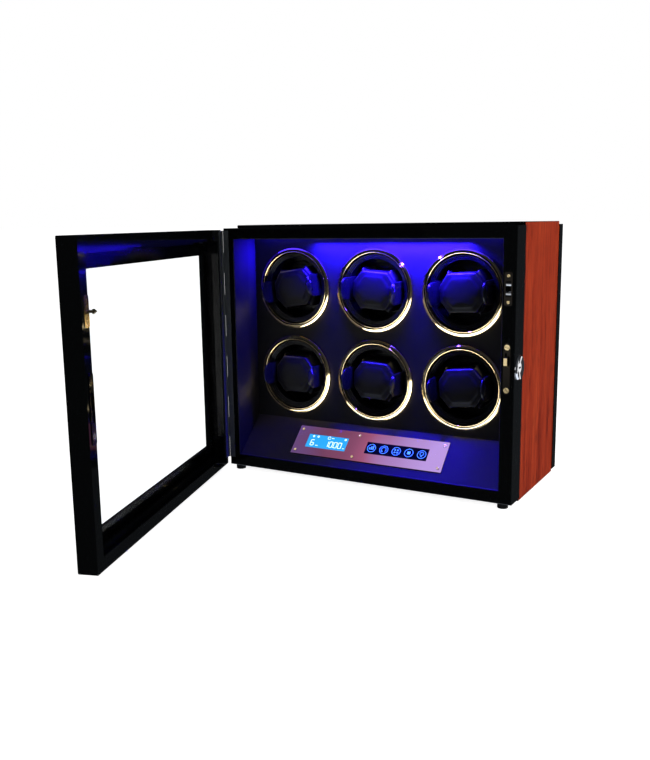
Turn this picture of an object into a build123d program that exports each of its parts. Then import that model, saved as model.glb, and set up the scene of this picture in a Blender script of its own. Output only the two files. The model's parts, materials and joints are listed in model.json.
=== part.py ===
from build123d import *

# Six-station watch winder cabinet with a swinging glass door, lock, catch and belt-driven drums.
# X runs left to right along the front, Y from the front to the back, Z upwards.
# The origin lies on the floor, in the middle of the cabinet's footprint. Sizes are in millimetres.

import os
from math import atan2, cos, radians, sin, sqrt

os.makedirs("parts", exist_ok=True)

# ---------------------------------------------------------------- driving sizes
# cabinet
cabinet_depth = 191.5
foot_height = 6.0
foot_diameter = 13.0
foot_inset = 12.5
front_frame_depth = 32.0
rear_frame_depth = 16.0
stile_width = 16.5
top_rail_height = 14.5
bottom_rail_height = 16.5
edge_radius = 1.2
side_recess = 1.0
core_overhang = 3.75
board_thickness = 12.0
back_rebate = 8.0
back_cover_thickness = 4.0
back_cover_recess = 4.0
fit_gap = 0.3

# winder stations; the cabinet's width and height follow from the rings and the gaps round them
panel_hole_radius = 47.5
column_gap = 13.0
row_gap = 10.6
side_gap = 11.0
crown_gap = 12.5
console_gap = 9.3
panel_setback = 18.0
panel_thickness = 5.0
drum_tilts = [9.0, -4.0, 3.0, 0.0, -2.0, 5.5]

# gold bezel rings
bezel_land = 6.0
bezel_lap = 1.3
bezel_height = 5.2
bezel_slope_run = 2.3
bezel_slope_rise = 2.9

# drums
drum_clearance = 0.9
flange_thickness = 3.0
flange_setback = 1.0
lip_width = 4.0
lip_height = 2.0
lip_bevel = 1.0
lip_shelf = 2.6
well_draft = 0.6
well_depth = 38.0
drum_wall = 2.5
drum_floor = 3.0
rib_thickness = 2.0
rib_length = 4.0

# watch holders and cushions
grip_thickness = 2.4
grip_half_height = 14.5
grip_reach = 30.0
holder_base_thickness = 3.0
holder_play = 0.4
cushion_play = 4.1
cushion_trim = 0.9
cushion_corner = 12.0
cushion_bevel = 3.0
strap_channel_width = 38.0
strap_channel_depth = 6.5
cushion_proud = 10.0

# belt drive
drum_pitch_radius = 20.0
motor_pitch_radius = 5.0
belt_thickness = 1.2
belt_width = 3.2
belt_clearance = 0.1
groove_play = 0.3
pulley_cheek = 1.2
cheek_height = 1.6
motor_offset = 38.0
motor_angle = -45.0
axle_radius = 5.0
running_clearance = 0.05
axle_shoulder_radius = 8.0
axle_shoulder = 1.0
thrust_gap = 0.2
drive_plate_thickness = 6.0
bearing_boss_radius = 9.0
bearing_boss_length = 6.0
cable_slot_length = 30.0
cable_slot_width = 14.0
snap_height = 0.8
snap_length = 2.5
snap_slot = 2.0
shaft_radius = 1.5
shaft_hole_radius = 3.5
shaft_grip = 12.0
motor_radius = 12.0
motor_length = 28.0
motor_flat_width = 19.4
motor_cap_radius = 6.0
motor_cap_length = 3.0

# console and controls
console_foot_depth = 2.0
console_rise = 46.5
console_thickness = 5.2
plate_width = 217.0
plate_height = 44.0
plate_thickness = 1.5
plate_up_slope = 33.5
lcd_width = 60.0
lcd_height = 20.2
lcd_centre = -60.5
strip_width = 87.0
strip_height = 17.8
strip_centre = 41.3
module_border = 3.0
glass_gap = 0.1
board_length = 190.0
board_width = 32.0
circuit_thickness = 1.6
plate_screw_inset = 5.5
middle_screw_x = -16.6

# light strip
strip_lamp_depth = 9.0
strip_lamp_height = 5.5
strip_lamp_end_gap = 6.0

# door
door_open_angle = 72.0
door_thickness = 21.0
door_trim = 2.0
door_gap = 2.0
door_rim = 14.0
door_rail = 32.0
door_front_layer = 5.0
glass_thickness = 3.0
glass_play = 0.5
bead_size = 3.0
hinge_axis_offset = 1.6

# continuous hinge
hinge_leaf_width = 8.0
leaf_thickness = 0.8
leaf_near = 0.3
knuckle_radius = 1.5
knuckle_count = 11
knuckle_gap = 0.15
hinge_pin_radius = 0.75
hinge_low_gap = 9.0
hinge_high_gap = 1.0
hinge_screw_count = 6
hinge_screw_end = 22.0

# screws
small_head_radius = 1.9
small_shank_radius = 1.0
small_shank_length = 6.0
brass_head_radius = 3.4
plate_head_radius = 1.8
plate_head_height = 0.7
cover_head_radius = 2.8
cover_head_height = 1.4
cover_shank_radius = 1.4
cover_shank_length = 9.0
cover_screw_rows = 3
hole_allowance = 0.1
slot_share = 0.35
slot_turn = 45.0

# catch and lock, measured from the frame's top and right edges
hardware_inset = 9.0
catch_drop = 70.6
face_plate = 0.8
corner_share = 0.25
catch_plate_length = 38.0
catch_plate_width = 9.4
catch_screw_spacing = 30.0
catch_body_height = 20.0
catch_body_depth = 11.0
catch_wall = 1.3
roller_radius = 2.6
roller_length = 6.0
roller_axle_radius = 0.8
roller_spacing = 10.6
roller_depth = 2.2
roller_travel = 1.3
roller_give = 0.3
spear_neck = 2.4
spear_head = 5.0
spear_width = 4.6
spear_length = 10.2
spear_head_length = 3.1
lock_case_width = 9.0
lock_case_height = 40.0
lock_case_depth = 24.0
lock_plate_length = 60.0
lock_plate_width = 8.0
lock_screw_spacing = 50.0
lock_wall = 2.4
bolt_thickness = 4.0
bolt_play = 0.1
bolt_height = 22.0
bolt_depth = 16.0
hook_low = 2.6
hook_shank = 7.6
hook_tip = 4.0
hook_reach = 6.0
hook_bevel = 1.0
hook_lip_start = 2.8
plug_radius = 6.0
crank_radius = 3.0
crank_pin_radius = 0.9
crank_swing = 90.0
crank_play = 0.2
keyway_height = 2.2
keyway_width = 8.0
keyway_depth = 5.0
cylinder_radius = 10.0
rosette_radius = 14.5
rosette_height = 2.6
rosette_dish = 1.2
rosette_edge = 0.85
strike_length = 68.0
strike_width = 9.0
strike_slot_width = 5.4
upper_slot_low = -0.7
upper_slot_height = 16.5
lower_slot_low = -12.7
lower_slot_height = 10.0
strike_pocket_depth = 10.0
strike_pocket_rise = 4.5
strike_play = 0.5
strike_screw_spacing = 51.0
spear_plate_length = 30.0
spear_screw_spacing = 20.0

# mains inlet
inlet_inset = 51.0
inlet_height = 45.0
inlet_flange_radius = 6.0
inlet_flange_height = 1.5
inlet_barrel_radius = 4.0
inlet_bore_radius = 2.9
inlet_bore_depth = 9.0
inlet_pin_radius = 1.0
inlet_body = 12.0
inlet_body_depth = 9.0

# ---------------------------------------------------------------- worked-out places
bezel_outer_radius = panel_hole_radius + bezel_land
bezel_inner_radius = panel_hole_radius - bezel_lap
column_pitch = 2 * bezel_outer_radius + column_gap
row_pitch = 2 * bezel_outer_radius + row_gap
flange_radius = panel_hole_radius - drum_clearance
well_mouth_radius = flange_radius - lip_width - lip_shelf
well_floor_radius = well_mouth_radius - well_draft
holder_base_radius = well_floor_radius - rib_length - holder_play
grip_centre_offset = holder_base_radius
cushion_width = 2 * grip_centre_offset - grip_thickness - cushion_play
cushion_height = cushion_width - cushion_trim

console_head = bottom_rail_height + glass_gap + console_rise
cabinet_width = 2 * (column_pitch + bezel_outer_radius + side_gap + stile_width)
frame_height = console_head + console_gap + row_pitch + 2 * bezel_outer_radius + crown_gap + top_rail_height
station_mid_height = foot_height + console_head + console_gap + bezel_outer_radius + row_pitch / 2
panel_depth = front_frame_depth + panel_setback
plug_depth = front_frame_depth / 2
front_y = -cabinet_depth / 2
frame_bottom = foot_height
frame_top = frame_bottom + frame_height
frame_middle = (frame_bottom + frame_top) / 2
half_width = cabinet_width / 2
opening_half = half_width - stile_width
opening_bottom = frame_bottom + bottom_rail_height
opening_top = frame_top - top_rail_height
opening_middle = (opening_bottom + opening_top) / 2
core_bottom = frame_bottom - core_overhang
core_top = frame_top + core_overhang
core_height = core_top - core_bottom
core_half = half_width - side_recess
core_inner_half = core_half - board_thickness
core_depth = cabinet_depth - front_frame_depth - rear_frame_depth
core_back = front_frame_depth + core_depth
inner_floor = core_bottom + board_thickness
inner_ceiling = core_top - board_thickness
inner_height = inner_ceiling - inner_floor
inner_middle = (inner_ceiling + inner_floor) / 2
lining_thickness = core_inner_half - opening_half
rear_opening_half = half_width - stile_width
rear_opening_height = frame_height - top_rail_height - bottom_rail_height
cover_face_depth = cabinet_depth - back_cover_recess
cover_seat_depth = cover_face_depth - back_cover_thickness
cover_width = 2 * (rear_opening_half + back_rebate)
cover_height = rear_opening_height + 2 * back_rebate

stations = [
    (column * column_pitch, station_mid_height + row * row_pitch / 2)
    for row in (1, -1)
    for column in (-1, 0, 1)
]

flange_front = panel_depth + flange_setback
flange_back = flange_front + flange_thickness
well_mouth_depth = panel_depth
well_floor_depth = well_mouth_depth + well_depth
drum_back = well_floor_depth + drum_floor
drum_groove_radius = drum_pitch_radius - belt_thickness / 2 - belt_clearance
motor_groove_radius = motor_pitch_radius - belt_thickness / 2 - belt_clearance
groove_width = belt_width + 2 * groove_play
groove_start = drum_back + pulley_cheek
groove_end = groove_start + groove_width
pulley_end = groove_end + pulley_cheek
shoulder_end = pulley_end + axle_shoulder
drive_plate_front = shoulder_end + thrust_gap
drive_plate_back = drive_plate_front + drive_plate_thickness
boss_back = drive_plate_back + bearing_boss_length
motor_dx = motor_offset * cos(radians(motor_angle))
motor_dz = motor_offset * sin(radians(motor_angle))
holder_base_back = well_floor_depth - fit_gap
holder_base_front = holder_base_back - holder_base_thickness
grip_centre_depth = panel_depth - grip_reach + grip_half_height
cushion_front = panel_depth - cushion_proud
cushion_depth = holder_base_front - cushion_front

console_run = panel_depth - console_foot_depth
console_slope = atan2(console_rise, console_run)
console_width = 2 * (opening_half - fit_gap)

hinge_x = -half_width - hinge_axis_offset
hinge_y = front_y - door_gap / 2
door_face = door_gap / 2
door_bottom = frame_bottom + door_trim
door_top = frame_top - door_trim
door_middle = (door_bottom + door_top) / 2
door_height = door_top - door_bottom
door_width = cabinet_width
door_mid_u = hinge_axis_offset + door_width / 2
glass_back = door_face + door_thickness - door_front_layer
glass_front = glass_back - glass_thickness
hardware_x = half_width - hardware_inset
hardware_u = hardware_x - hinge_x
inlet_x = inlet_inset - half_width
catch_z = frame_top - catch_drop
lock_z = frame_middle
crank_rise = 2 * crank_radius * sin(radians(crank_swing / 2))
crank_drop = crank_rise / 2
crank_forward = crank_radius * cos(radians(crank_swing / 2))
crank_middle = (crank_radius + crank_forward) / 2
cam_radius = crank_radius + crank_pin_radius + fit_gap
case_right = hardware_x + lock_case_width / 2 - hole_allowance
plug_face = half_width + rosette_height - rosette_dish
catch_screws = [(hardware_x, catch_z + way * catch_screw_spacing / 2) for way in (-1, 1)]
lock_screws = [(hardware_x, lock_z + way * lock_screw_spacing / 2) for way in (-1, 1)]
spear_screws = [(hardware_u, catch_z + way * spear_screw_spacing / 2) for way in (-1, 1)]
strike_screws = [(hardware_u, lock_z + way * strike_screw_spacing / 2) for way in (-1, 1)]
hinge_bottom = door_bottom + hinge_low_gap
hinge_height = door_height - hinge_low_gap - hinge_high_gap
knuckle_pitch = hinge_height / knuckle_count
knuckle_length = knuckle_pitch - knuckle_gap
leaf_screw_u = hinge_axis_offset + leaf_near + hinge_leaf_width / 2
hinge_screw_pitch = (hinge_height - 2 * hinge_screw_end) / (hinge_screw_count - 1)
hinge_screw_heights = [
    hinge_bottom + hinge_screw_end + number * hinge_screw_pitch
    for number in range(hinge_screw_count)
]
frame_hinge_screws = [(leaf_screw_u + hinge_x, z) for z in hinge_screw_heights]
door_hinge_screws = [(leaf_screw_u, z) for z in hinge_screw_heights]
cover_screw_points = [
    (-across * (cover_width - back_rebate) / 2, opening_middle + up * (cover_height - back_rebate) / 2)
    for across in (-1, 1)
    for up in (-1, 0, 1)
]


# ---------------------------------------------------------------- planes and helpers
def wall(depth):
    """Upright plane facing the viewer, this far behind the front frame's face."""
    return Plane.XZ.offset(-(front_y + depth))


def level(height):
    """Horizontal plane at this height above the floor."""
    return Plane.XY.offset(height)


def side(x):
    """Upright plane facing right at this x, with local x along Y and local y along Z."""
    return Plane.YZ.offset(x)


def y_at(depth):
    """Y of a point this far behind the front frame's face."""
    return front_y + depth


console_plane = Plane(
    origin=(0, y_at(console_foot_depth), opening_bottom + glass_gap),
    x_dir=(1, 0, 0),
    z_dir=(0, -sin(console_slope), cos(console_slope)),
)
swing = radians(door_open_angle)
cover_plane = Plane(origin=(0, y_at(cover_face_depth), 0), x_dir=(-1, 0, 0), z_dir=(0, 1, 0))
door_plane = Plane(
    origin=(hinge_x, hinge_y, 0),
    x_dir=(cos(swing), -sin(swing), 0),
    z_dir=(-sin(swing), -cos(swing), 0),
)


def door_section(u):
    """Plane across the open door at this distance from the hinge: local x outwards, local y upwards."""
    middle = door_plane.origin + door_plane.x_dir * u
    return Plane(origin=middle, x_dir=door_plane.z_dir, z_dir=-door_plane.x_dir)


def keep(piece, name):
    """Label a finished piece and write its STEP file."""
    piece.part.label = name
    export_step(piece.part, f"parts/{name}.step")


def screw(head_radius, head_height, shank_radius, shank_length):
    """Slotted screw with its seat at the origin and its head towards +Z."""
    with BuildPart() as made:
        with BuildSketch(Plane.XY):
            Circle(head_radius)
        extrude(amount=head_height)
        with BuildSketch(Plane.XY):
            Circle(shank_radius)
        extrude(amount=-shank_length)
        with BuildSketch(Plane.XY.offset(head_height)):
            Rectangle(2 * head_radius, slot_share * head_radius, rotation=slot_turn)
        extrude(amount=-head_height / 2, mode=Mode.SUBTRACT)
    return made.part


# ---------------------------------------------------------------- cabinet shell
with BuildPart() as front_frame:
    with BuildSketch(wall(0)):
        with Locations((0, frame_middle)):
            Rectangle(cabinet_width, frame_height)
        with Locations((0, opening_middle)):
            Rectangle(2 * opening_half, opening_top - opening_bottom, mode=Mode.SUBTRACT)
    extrude(amount=-front_frame_depth)
    fillet(front_frame.faces().sort_by(Axis.Y)[0].edges(), edge_radius)
    fillet(front_frame.faces().sort_by(Axis.Y)[-1].outer_wire().edges(), edge_radius / 2)
    # mortise and cylinder hole for the lock
    with BuildSketch(wall(0)):
        with Locations((hardware_x, lock_z)):
            Rectangle(lock_case_width, lock_case_height)
    extrude(amount=-lock_case_depth, mode=Mode.SUBTRACT)
    with BuildSketch(side(half_width)):
        with Locations((y_at(plug_depth), lock_z)):
            Circle(cylinder_radius)
    extrude(amount=-(half_width - hardware_x), mode=Mode.SUBTRACT)
    # mortise for the roller catch
    with BuildSketch(wall(0)):
        with Locations((hardware_x, catch_z)):
            Rectangle(lock_case_width, catch_body_height)
    extrude(amount=-catch_body_depth, mode=Mode.SUBTRACT)
    # screw holes
    with BuildSketch(wall(0)):
        with Locations(*frame_hinge_screws, *catch_screws, *lock_screws):
            Circle(small_shank_radius + hole_allowance)
    extrude(amount=-small_shank_length - fit_gap, mode=Mode.SUBTRACT)
keep(front_frame, "front_frame")

with BuildPart() as rear_frame:
    with BuildSketch(wall(core_back)):
        with Locations((0, frame_middle)):
            Rectangle(cabinet_width, frame_height)
        with Locations((0, opening_middle)):
            Rectangle(2 * rear_opening_half, rear_opening_height, mode=Mode.SUBTRACT)
    extrude(amount=-rear_frame_depth)
    fillet(rear_frame.faces().sort_by(Axis.Y)[-1].outer_wire().edges(), edge_radius)
    with BuildSketch(wall(cover_seat_depth)):
        with Locations((0, opening_middle)):
            Rectangle(cover_width, cover_height)
    extrude(amount=-rear_frame_depth, mode=Mode.SUBTRACT)
    with BuildSketch(wall(cover_seat_depth)):
        with Locations((0, opening_middle)):
            with GridLocations(cover_width - back_rebate, (cover_height - back_rebate) / 2, 2, cover_screw_rows):
                Circle(cover_shank_radius + hole_allowance)
    extrude(amount=cover_shank_length - back_cover_thickness, mode=Mode.SUBTRACT)
keep(rear_frame, "rear_frame")

with BuildPart() as side_panels:
    with BuildSketch(level(core_bottom)):
        with Locations((0, y_at(front_frame_depth + core_depth / 2))):
            Rectangle(2 * core_half, core_depth)
            Rectangle(2 * core_inner_half, core_depth, mode=Mode.SUBTRACT)
    extrude(amount=core_height)
    for outer_face in (side_panels.faces().sort_by(Axis.X)[0], side_panels.faces().sort_by(Axis.X)[-1]):
        fillet(outer_face.edges().filter_by(Axis.Y), edge_radius)
keep(side_panels, "side_panels")

for name, under in (("bottom_panel", core_bottom), ("top_panel", inner_ceiling)):
    with BuildPart() as flat_panel:
        with BuildSketch(level(under)):
            with Locations((0, y_at(front_frame_depth + core_depth / 2))):
                Rectangle(2 * core_inner_half, core_depth)
        extrude(amount=board_thickness)
    keep(flat_panel, name)

with BuildPart() as back_cover:
    with BuildSketch(wall(cover_seat_depth)):
        with Locations((0, opening_middle)):
            Rectangle(cover_width - 2 * fit_gap, cover_height - 2 * fit_gap)
            with GridLocations(cover_width - back_rebate, (cover_height - back_rebate) / 2, 2, cover_screw_rows):
                Circle(cover_shank_radius + hole_allowance, mode=Mode.SUBTRACT)
        with Locations((inlet_x, inlet_height)):
            Circle(inlet_barrel_radius + hole_allowance, mode=Mode.SUBTRACT)
    extrude(amount=-back_cover_thickness)
keep(back_cover, "back_cover")

with BuildPart() as feet:
    for foot_depth in (foot_diameter / 2 + side_recess, cabinet_depth - rear_frame_depth / 2):
        with BuildSketch(level(0)):
            with Locations(
                (half_width - foot_inset, y_at(foot_depth)), (foot_inset - half_width, y_at(foot_depth))
            ):
                Circle(foot_diameter / 2)
        extrude(amount=foot_height)
    chamfer(feet.faces().group_by(Axis.Z)[0].edges(), edge_radius / 2)
keep(feet, "feet")

with BuildPart() as side_linings:
    with BuildSketch(wall(front_frame_depth)):
        for hand in (-1, 1):
            with Locations((hand * (opening_half + lining_thickness / 2), inner_middle)):
                Rectangle(lining_thickness, inner_height)
    extrude(amount=-(panel_depth - front_frame_depth))
keep(side_linings, "side_linings")

with BuildPart() as winder_panel:
    with BuildSketch(wall(panel_depth)):
        with Locations((0, inner_middle)):
            Rectangle(2 * core_inner_half, inner_height)
        with Locations(*stations):
            Circle(panel_hole_radius, mode=Mode.SUBTRACT)
    extrude(amount=-panel_thickness)
keep(winder_panel, "winder_panel")

with BuildPart() as bezel:
    with BuildSketch(Plane.XY):
        with BuildLine():
            crown_y = y_at(panel_depth - bezel_height)
            shoulder_y = y_at(panel_depth - bezel_height + bezel_slope_rise)
            Polyline(
                (bezel_inner_radius, y_at(panel_depth)),
                (bezel_inner_radius, shoulder_y),
                (bezel_inner_radius + bezel_slope_run, crown_y),
                (bezel_outer_radius - bezel_slope_run, crown_y),
                (bezel_outer_radius, shoulder_y),
                (bezel_outer_radius, y_at(panel_depth)),
                close=True,
            )
        make_face()
    revolve(axis=Axis.Y)

with BuildPart() as bezel_rings:
    with Locations(*[(x, 0, z) for x, z in stations]):
        add(bezel.part)
keep(bezel_rings, "bezel_rings")

# ---------------------------------------------------------------- console, controls and light
outer_screw_x = plate_width / 2 - plate_screw_inset
screw_up = plate_height / 2 - plate_screw_inset
plate_screw_points = [
    (x, plate_up_slope + up * screw_up)
    for x in (-outer_screw_x, middle_screw_x, outer_screw_x)
    for up in (-1, 1)
]

with BuildPart() as console_board:
    with BuildSketch(side(-console_width / 2)):
        with BuildLine():
            foot_y = y_at(console_foot_depth)
            foot_z = opening_bottom + glass_gap
            head_y = y_at(panel_depth)
            Polyline(
                (foot_y, foot_z),
                (head_y, foot_z + console_rise),
                (head_y, foot_z + console_rise - console_thickness / cos(console_slope)),
                (foot_y + console_thickness / sin(console_slope), foot_z),
                close=True,
            )
        make_face()
    extrude(amount=console_width)
    with BuildSketch(console_plane):
        with Locations((lcd_centre, plate_up_slope)):
            Rectangle(lcd_width + 2 * module_border, lcd_height + 2 * module_border)
        with Locations((strip_centre, plate_up_slope)):
            Rectangle(strip_width + 2 * module_border, strip_height + 2 * module_border)
    extrude(amount=-2 * console_thickness, mode=Mode.SUBTRACT)
    with BuildSketch(console_plane):
        with Locations(*plate_screw_points):
            Circle(small_shank_radius + hole_allowance)
    extrude(amount=-console_thickness, mode=Mode.SUBTRACT)
keep(console_board, "console_board")

with BuildPart() as control_plate:
    with BuildSketch(console_plane):
        with Locations((0, plate_up_slope)):
            Rectangle(plate_width, plate_height)
        with Locations((lcd_centre, plate_up_slope)):
            Rectangle(lcd_width, lcd_height, mode=Mode.SUBTRACT)
        with Locations((strip_centre, plate_up_slope)):
            Rectangle(strip_width, strip_height, mode=Mode.SUBTRACT)
        with Locations(*plate_screw_points):
            Circle(small_shank_radius + hole_allowance, mode=Mode.SUBTRACT)
    extrude(amount=plate_thickness)
keep(control_plate, "control_plate")

for name, centre, width, height in (
    ("lcd_module", lcd_centre, lcd_width, lcd_height),
    ("touch_strip", strip_centre, strip_width, strip_height),
):
    with BuildPart() as module:
        with BuildSketch(console_plane):
            with Locations((centre, plate_up_slope)):
                Rectangle(width - 2 * glass_gap, height - 2 * glass_gap)
        extrude(amount=plate_thickness)
        with BuildSketch(console_plane):
            with Locations((centre, plate_up_slope)):
                Rectangle(
                    width + 2 * module_border - 2 * glass_gap, height + 2 * module_border - 2 * glass_gap
                )
        extrude(amount=-console_thickness)
    keep(module, name)

with BuildPart() as control_board:
    with BuildSketch(console_plane.offset(-console_thickness)):
        with Locations(((lcd_centre + strip_centre) / 2, plate_up_slope)):
            Rectangle(board_length, board_width)
    extrude(amount=-circuit_thickness)
keep(control_board, "control_board")

with BuildPart() as led_strip:
    lamp_y = y_at(front_frame_depth)
    with BuildSketch(side(-(opening_half - strip_lamp_end_gap))):
        with BuildLine():
            lamp_edge = Polyline(
                (lamp_y, inner_ceiling - strip_lamp_height),
                (lamp_y, inner_ceiling),
                (lamp_y + strip_lamp_depth, inner_ceiling),
            )
            RadiusArc(lamp_edge @ 1, lamp_edge @ 0, strip_lamp_depth)
        make_face()
    extrude(amount=2 * (opening_half - strip_lamp_end_gap))
keep(led_strip, "led_strip")

# ---------------------------------------------------------------- drums, holders and cushions
with BuildPart() as drum:
    with BuildSketch(Plane.XY):
        with BuildLine():
            inside = Polyline(
                (0, y_at(well_floor_depth)),
                (well_floor_radius, y_at(well_floor_depth)),
                (well_mouth_radius, y_at(well_mouth_depth)),
            )
            lip_outer = (well_mouth_radius + lip_width, y_at(well_mouth_depth))
            Polyline(
                inside @ 1,
                (well_mouth_radius + lip_bevel, y_at(well_mouth_depth - lip_height)),
                (well_mouth_radius + lip_width - lip_bevel, y_at(well_mouth_depth - lip_height)),
                lip_outer,
            )
            outside = Polyline(
                lip_outer,
                (lip_outer[0], y_at(flange_front)),
                (flange_radius, y_at(flange_front)),
                (flange_radius, y_at(flange_back)),
                (well_mouth_radius + drum_wall, y_at(flange_back)),
                (well_floor_radius + drum_wall, y_at(drum_back)),
                (drum_groove_radius, y_at(drum_back)),
                (drum_groove_radius, y_at(groove_end)),
                (drum_groove_radius + cheek_height, y_at(groove_end)),
                (drum_groove_radius + cheek_height, y_at(pulley_end)),
                (axle_shoulder_radius, y_at(pulley_end)),
                (axle_shoulder_radius, y_at(shoulder_end)),
                (axle_radius, y_at(shoulder_end)),
                (axle_radius, y_at(boss_back + thrust_gap)),
                (axle_radius + snap_height, y_at(boss_back + thrust_gap)),
                (axle_radius, y_at(boss_back + thrust_gap + snap_length)),
                (0, y_at(boss_back + thrust_gap + snap_length)),
            )
            Line(outside @ 1, inside @ 0)
        make_face()
    revolve(axis=Axis.Y)
    # pairs of ribs in the well keep the holder from turning
    rib_root = sqrt(well_floor_radius**2 - (grip_half_height + rib_thickness) ** 2)
    with BuildSketch(wall(flange_front)):
        for rib_x in (-1, 1):
            for rib_z in (-1, 1):
                with Locations(
                    (
                        rib_x * (rib_root + drum_wall / 2 - rib_length / 2),
                        rib_z * (grip_half_height + fit_gap + rib_thickness / 2),
                    )
                ):
                    Rectangle(rib_length, rib_thickness)
    extrude(amount=-(well_floor_depth - flange_front))
    # the axle's end is split so that it snaps through its bearing
    with BuildSketch(wall(boss_back + thrust_gap + snap_length)):
        Rectangle(snap_slot, 2 * axle_shoulder_radius)
    extrude(amount=bearing_boss_length, mode=Mode.SUBTRACT)

with BuildPart() as holder:
    with BuildSketch(wall(holder_base_front)):
        Circle(holder_base_radius)
        Rectangle(2 * grip_centre_offset + grip_thickness, 2 * grip_half_height)
    extrude(amount=-holder_base_thickness)
    for hand in (-1, 1):
        with BuildSketch(side(hand * grip_centre_offset - grip_thickness / 2)):
            with Locations((y_at(grip_centre_depth), 0)):
                Circle(grip_half_height)
            with Locations((y_at((grip_centre_depth + holder_base_back) / 2), 0)):
                Rectangle(holder_base_back - grip_centre_depth, 2 * grip_half_height)
        extrude(amount=grip_thickness)

with BuildPart() as cushion:
    with BuildSketch(wall(cushion_front)):
        with BuildLine():
            half_w, half_h = cushion_width / 2, cushion_height / 2
            strap_x, strap_z = strap_channel_width / 2, half_h - strap_channel_depth
            quarter = Polyline(
                (0, strap_z),
                (strap_x, strap_z),
                (strap_x, half_h - (strap_x - half_w + cushion_corner)),
                (half_w, half_h - cushion_corner),
                (half_w, 0),
            )
            mirror(quarter, about=Plane.YZ)
            mirror(about=Plane.XZ)
        make_face()
    extrude(amount=-cushion_depth)
    chamfer(cushion.faces().sort_by(Axis.Y)[0].edges(), cushion_bevel)

with BuildPart() as motor_pulley:
    with BuildSketch(Plane.XY):
        with BuildLine():
            Polyline(
                (0, y_at(groove_start - groove_play / 2)),
                (motor_groove_radius, y_at(groove_start - groove_play / 2)),
                (motor_groove_radius, y_at(groove_end)),
                (motor_groove_radius + cheek_height, y_at(groove_end)),
                (motor_groove_radius + cheek_height, y_at(pulley_end)),
                (shaft_radius, y_at(pulley_end)),
                (shaft_radius, y_at(drive_plate_back + shaft_grip)),
                (0, y_at(drive_plate_back + shaft_grip)),
                close=True,
            )
        make_face()
    revolve(axis=Axis.Y)

with BuildPart() as motor:
    with BuildSketch(wall(drive_plate_back)):
        Circle(motor_radius)
        Rectangle(2 * motor_radius, motor_flat_width, mode=Mode.INTERSECT)
        Circle(shaft_radius + running_clearance, mode=Mode.SUBTRACT)
    extrude(amount=-motor_length)
    with BuildSketch(wall(drive_plate_back + motor_length)):
        Circle(motor_cap_radius)
    extrude(amount=-motor_cap_length)

with BuildPart() as belt:
    with BuildSketch(wall(groove_start + groove_play)):
        Circle(drum_pitch_radius + belt_thickness / 2)
        with Locations((motor_dx, motor_dz)):
            Circle(motor_pitch_radius + belt_thickness / 2)
        make_hull()
        offset(amount=-belt_thickness, mode=Mode.SUBTRACT)
    extrude(amount=-belt_width)

for number, ((x, z), tilt) in enumerate(zip(stations, drum_tilts), start=1):
    turned = Location((x, 0, z), (0, -tilt, 0))
    for prototype, name in ((drum, "rotor_drum"), (holder, "cushion_holder"), (cushion, "watch_cushion")):
        with BuildPart() as placed:
            with Locations(turned):
                add(prototype.part)
        keep(placed, f"{name}_{number}")
    with BuildPart() as placed_pulley:
        with Locations((x + motor_dx, 0, z + motor_dz)):
            add(motor_pulley.part)
    keep(placed_pulley, f"motor_pulley_{number}")

with BuildPart() as drive_belts:
    with Locations(*[(x, 0, z) for x, z in stations]):
        add(belt.part)
keep(drive_belts, "drive_belts")

with BuildPart() as drive_motors:
    with Locations(*[(x + motor_dx, 0, z + motor_dz) for x, z in stations]):
        add(motor.part)
keep(drive_motors, "drive_motors")

with BuildPart() as drive_plate:
    with BuildSketch(wall(drive_plate_front)):
        with Locations((0, inner_middle)):
            Rectangle(2 * core_inner_half, inner_height)
    extrude(amount=-drive_plate_thickness)
    with BuildSketch(wall(drive_plate_back)):
        with Locations(*stations):
            Circle(bearing_boss_radius)
    extrude(amount=-bearing_boss_length)
    with BuildSketch(wall(drive_plate_front)):
        with Locations(*stations):
            Circle(axle_radius + running_clearance)
        with Locations(*[(x + motor_dx, z + motor_dz) for x, z in stations]):
            Circle(shaft_hole_radius)
        with Locations((-column_pitch / 2, station_mid_height), (column_pitch / 2, station_mid_height)):
            SlotOverall(cable_slot_length, cable_slot_width)
    extrude(amount=-(boss_back - drive_plate_front), mode=Mode.SUBTRACT)
keep(drive_plate, "drive_plate")

with BuildPart() as dc_inlet:
    with BuildSketch(wall(cover_face_depth)):
        with Locations((inlet_x, inlet_height)):
            Circle(inlet_flange_radius)
    extrude(amount=-inlet_flange_height)
    with BuildSketch(wall(cover_face_depth)):
        with Locations((inlet_x, inlet_height)):
            Circle(inlet_barrel_radius)
    extrude(amount=back_cover_thickness)
    with BuildSketch(wall(cover_seat_depth)):
        with Locations((inlet_x, inlet_height)):
            Rectangle(inlet_body, inlet_body)
    extrude(amount=inlet_body_depth)
    with BuildSketch(wall(cover_face_depth + inlet_flange_height)):
        with Locations((inlet_x, inlet_height)):
            Circle(inlet_bore_radius)
            Circle(inlet_pin_radius, mode=Mode.SUBTRACT)
    extrude(amount=inlet_bore_depth, mode=Mode.SUBTRACT)
keep(dc_inlet, "dc_inlet")

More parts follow.
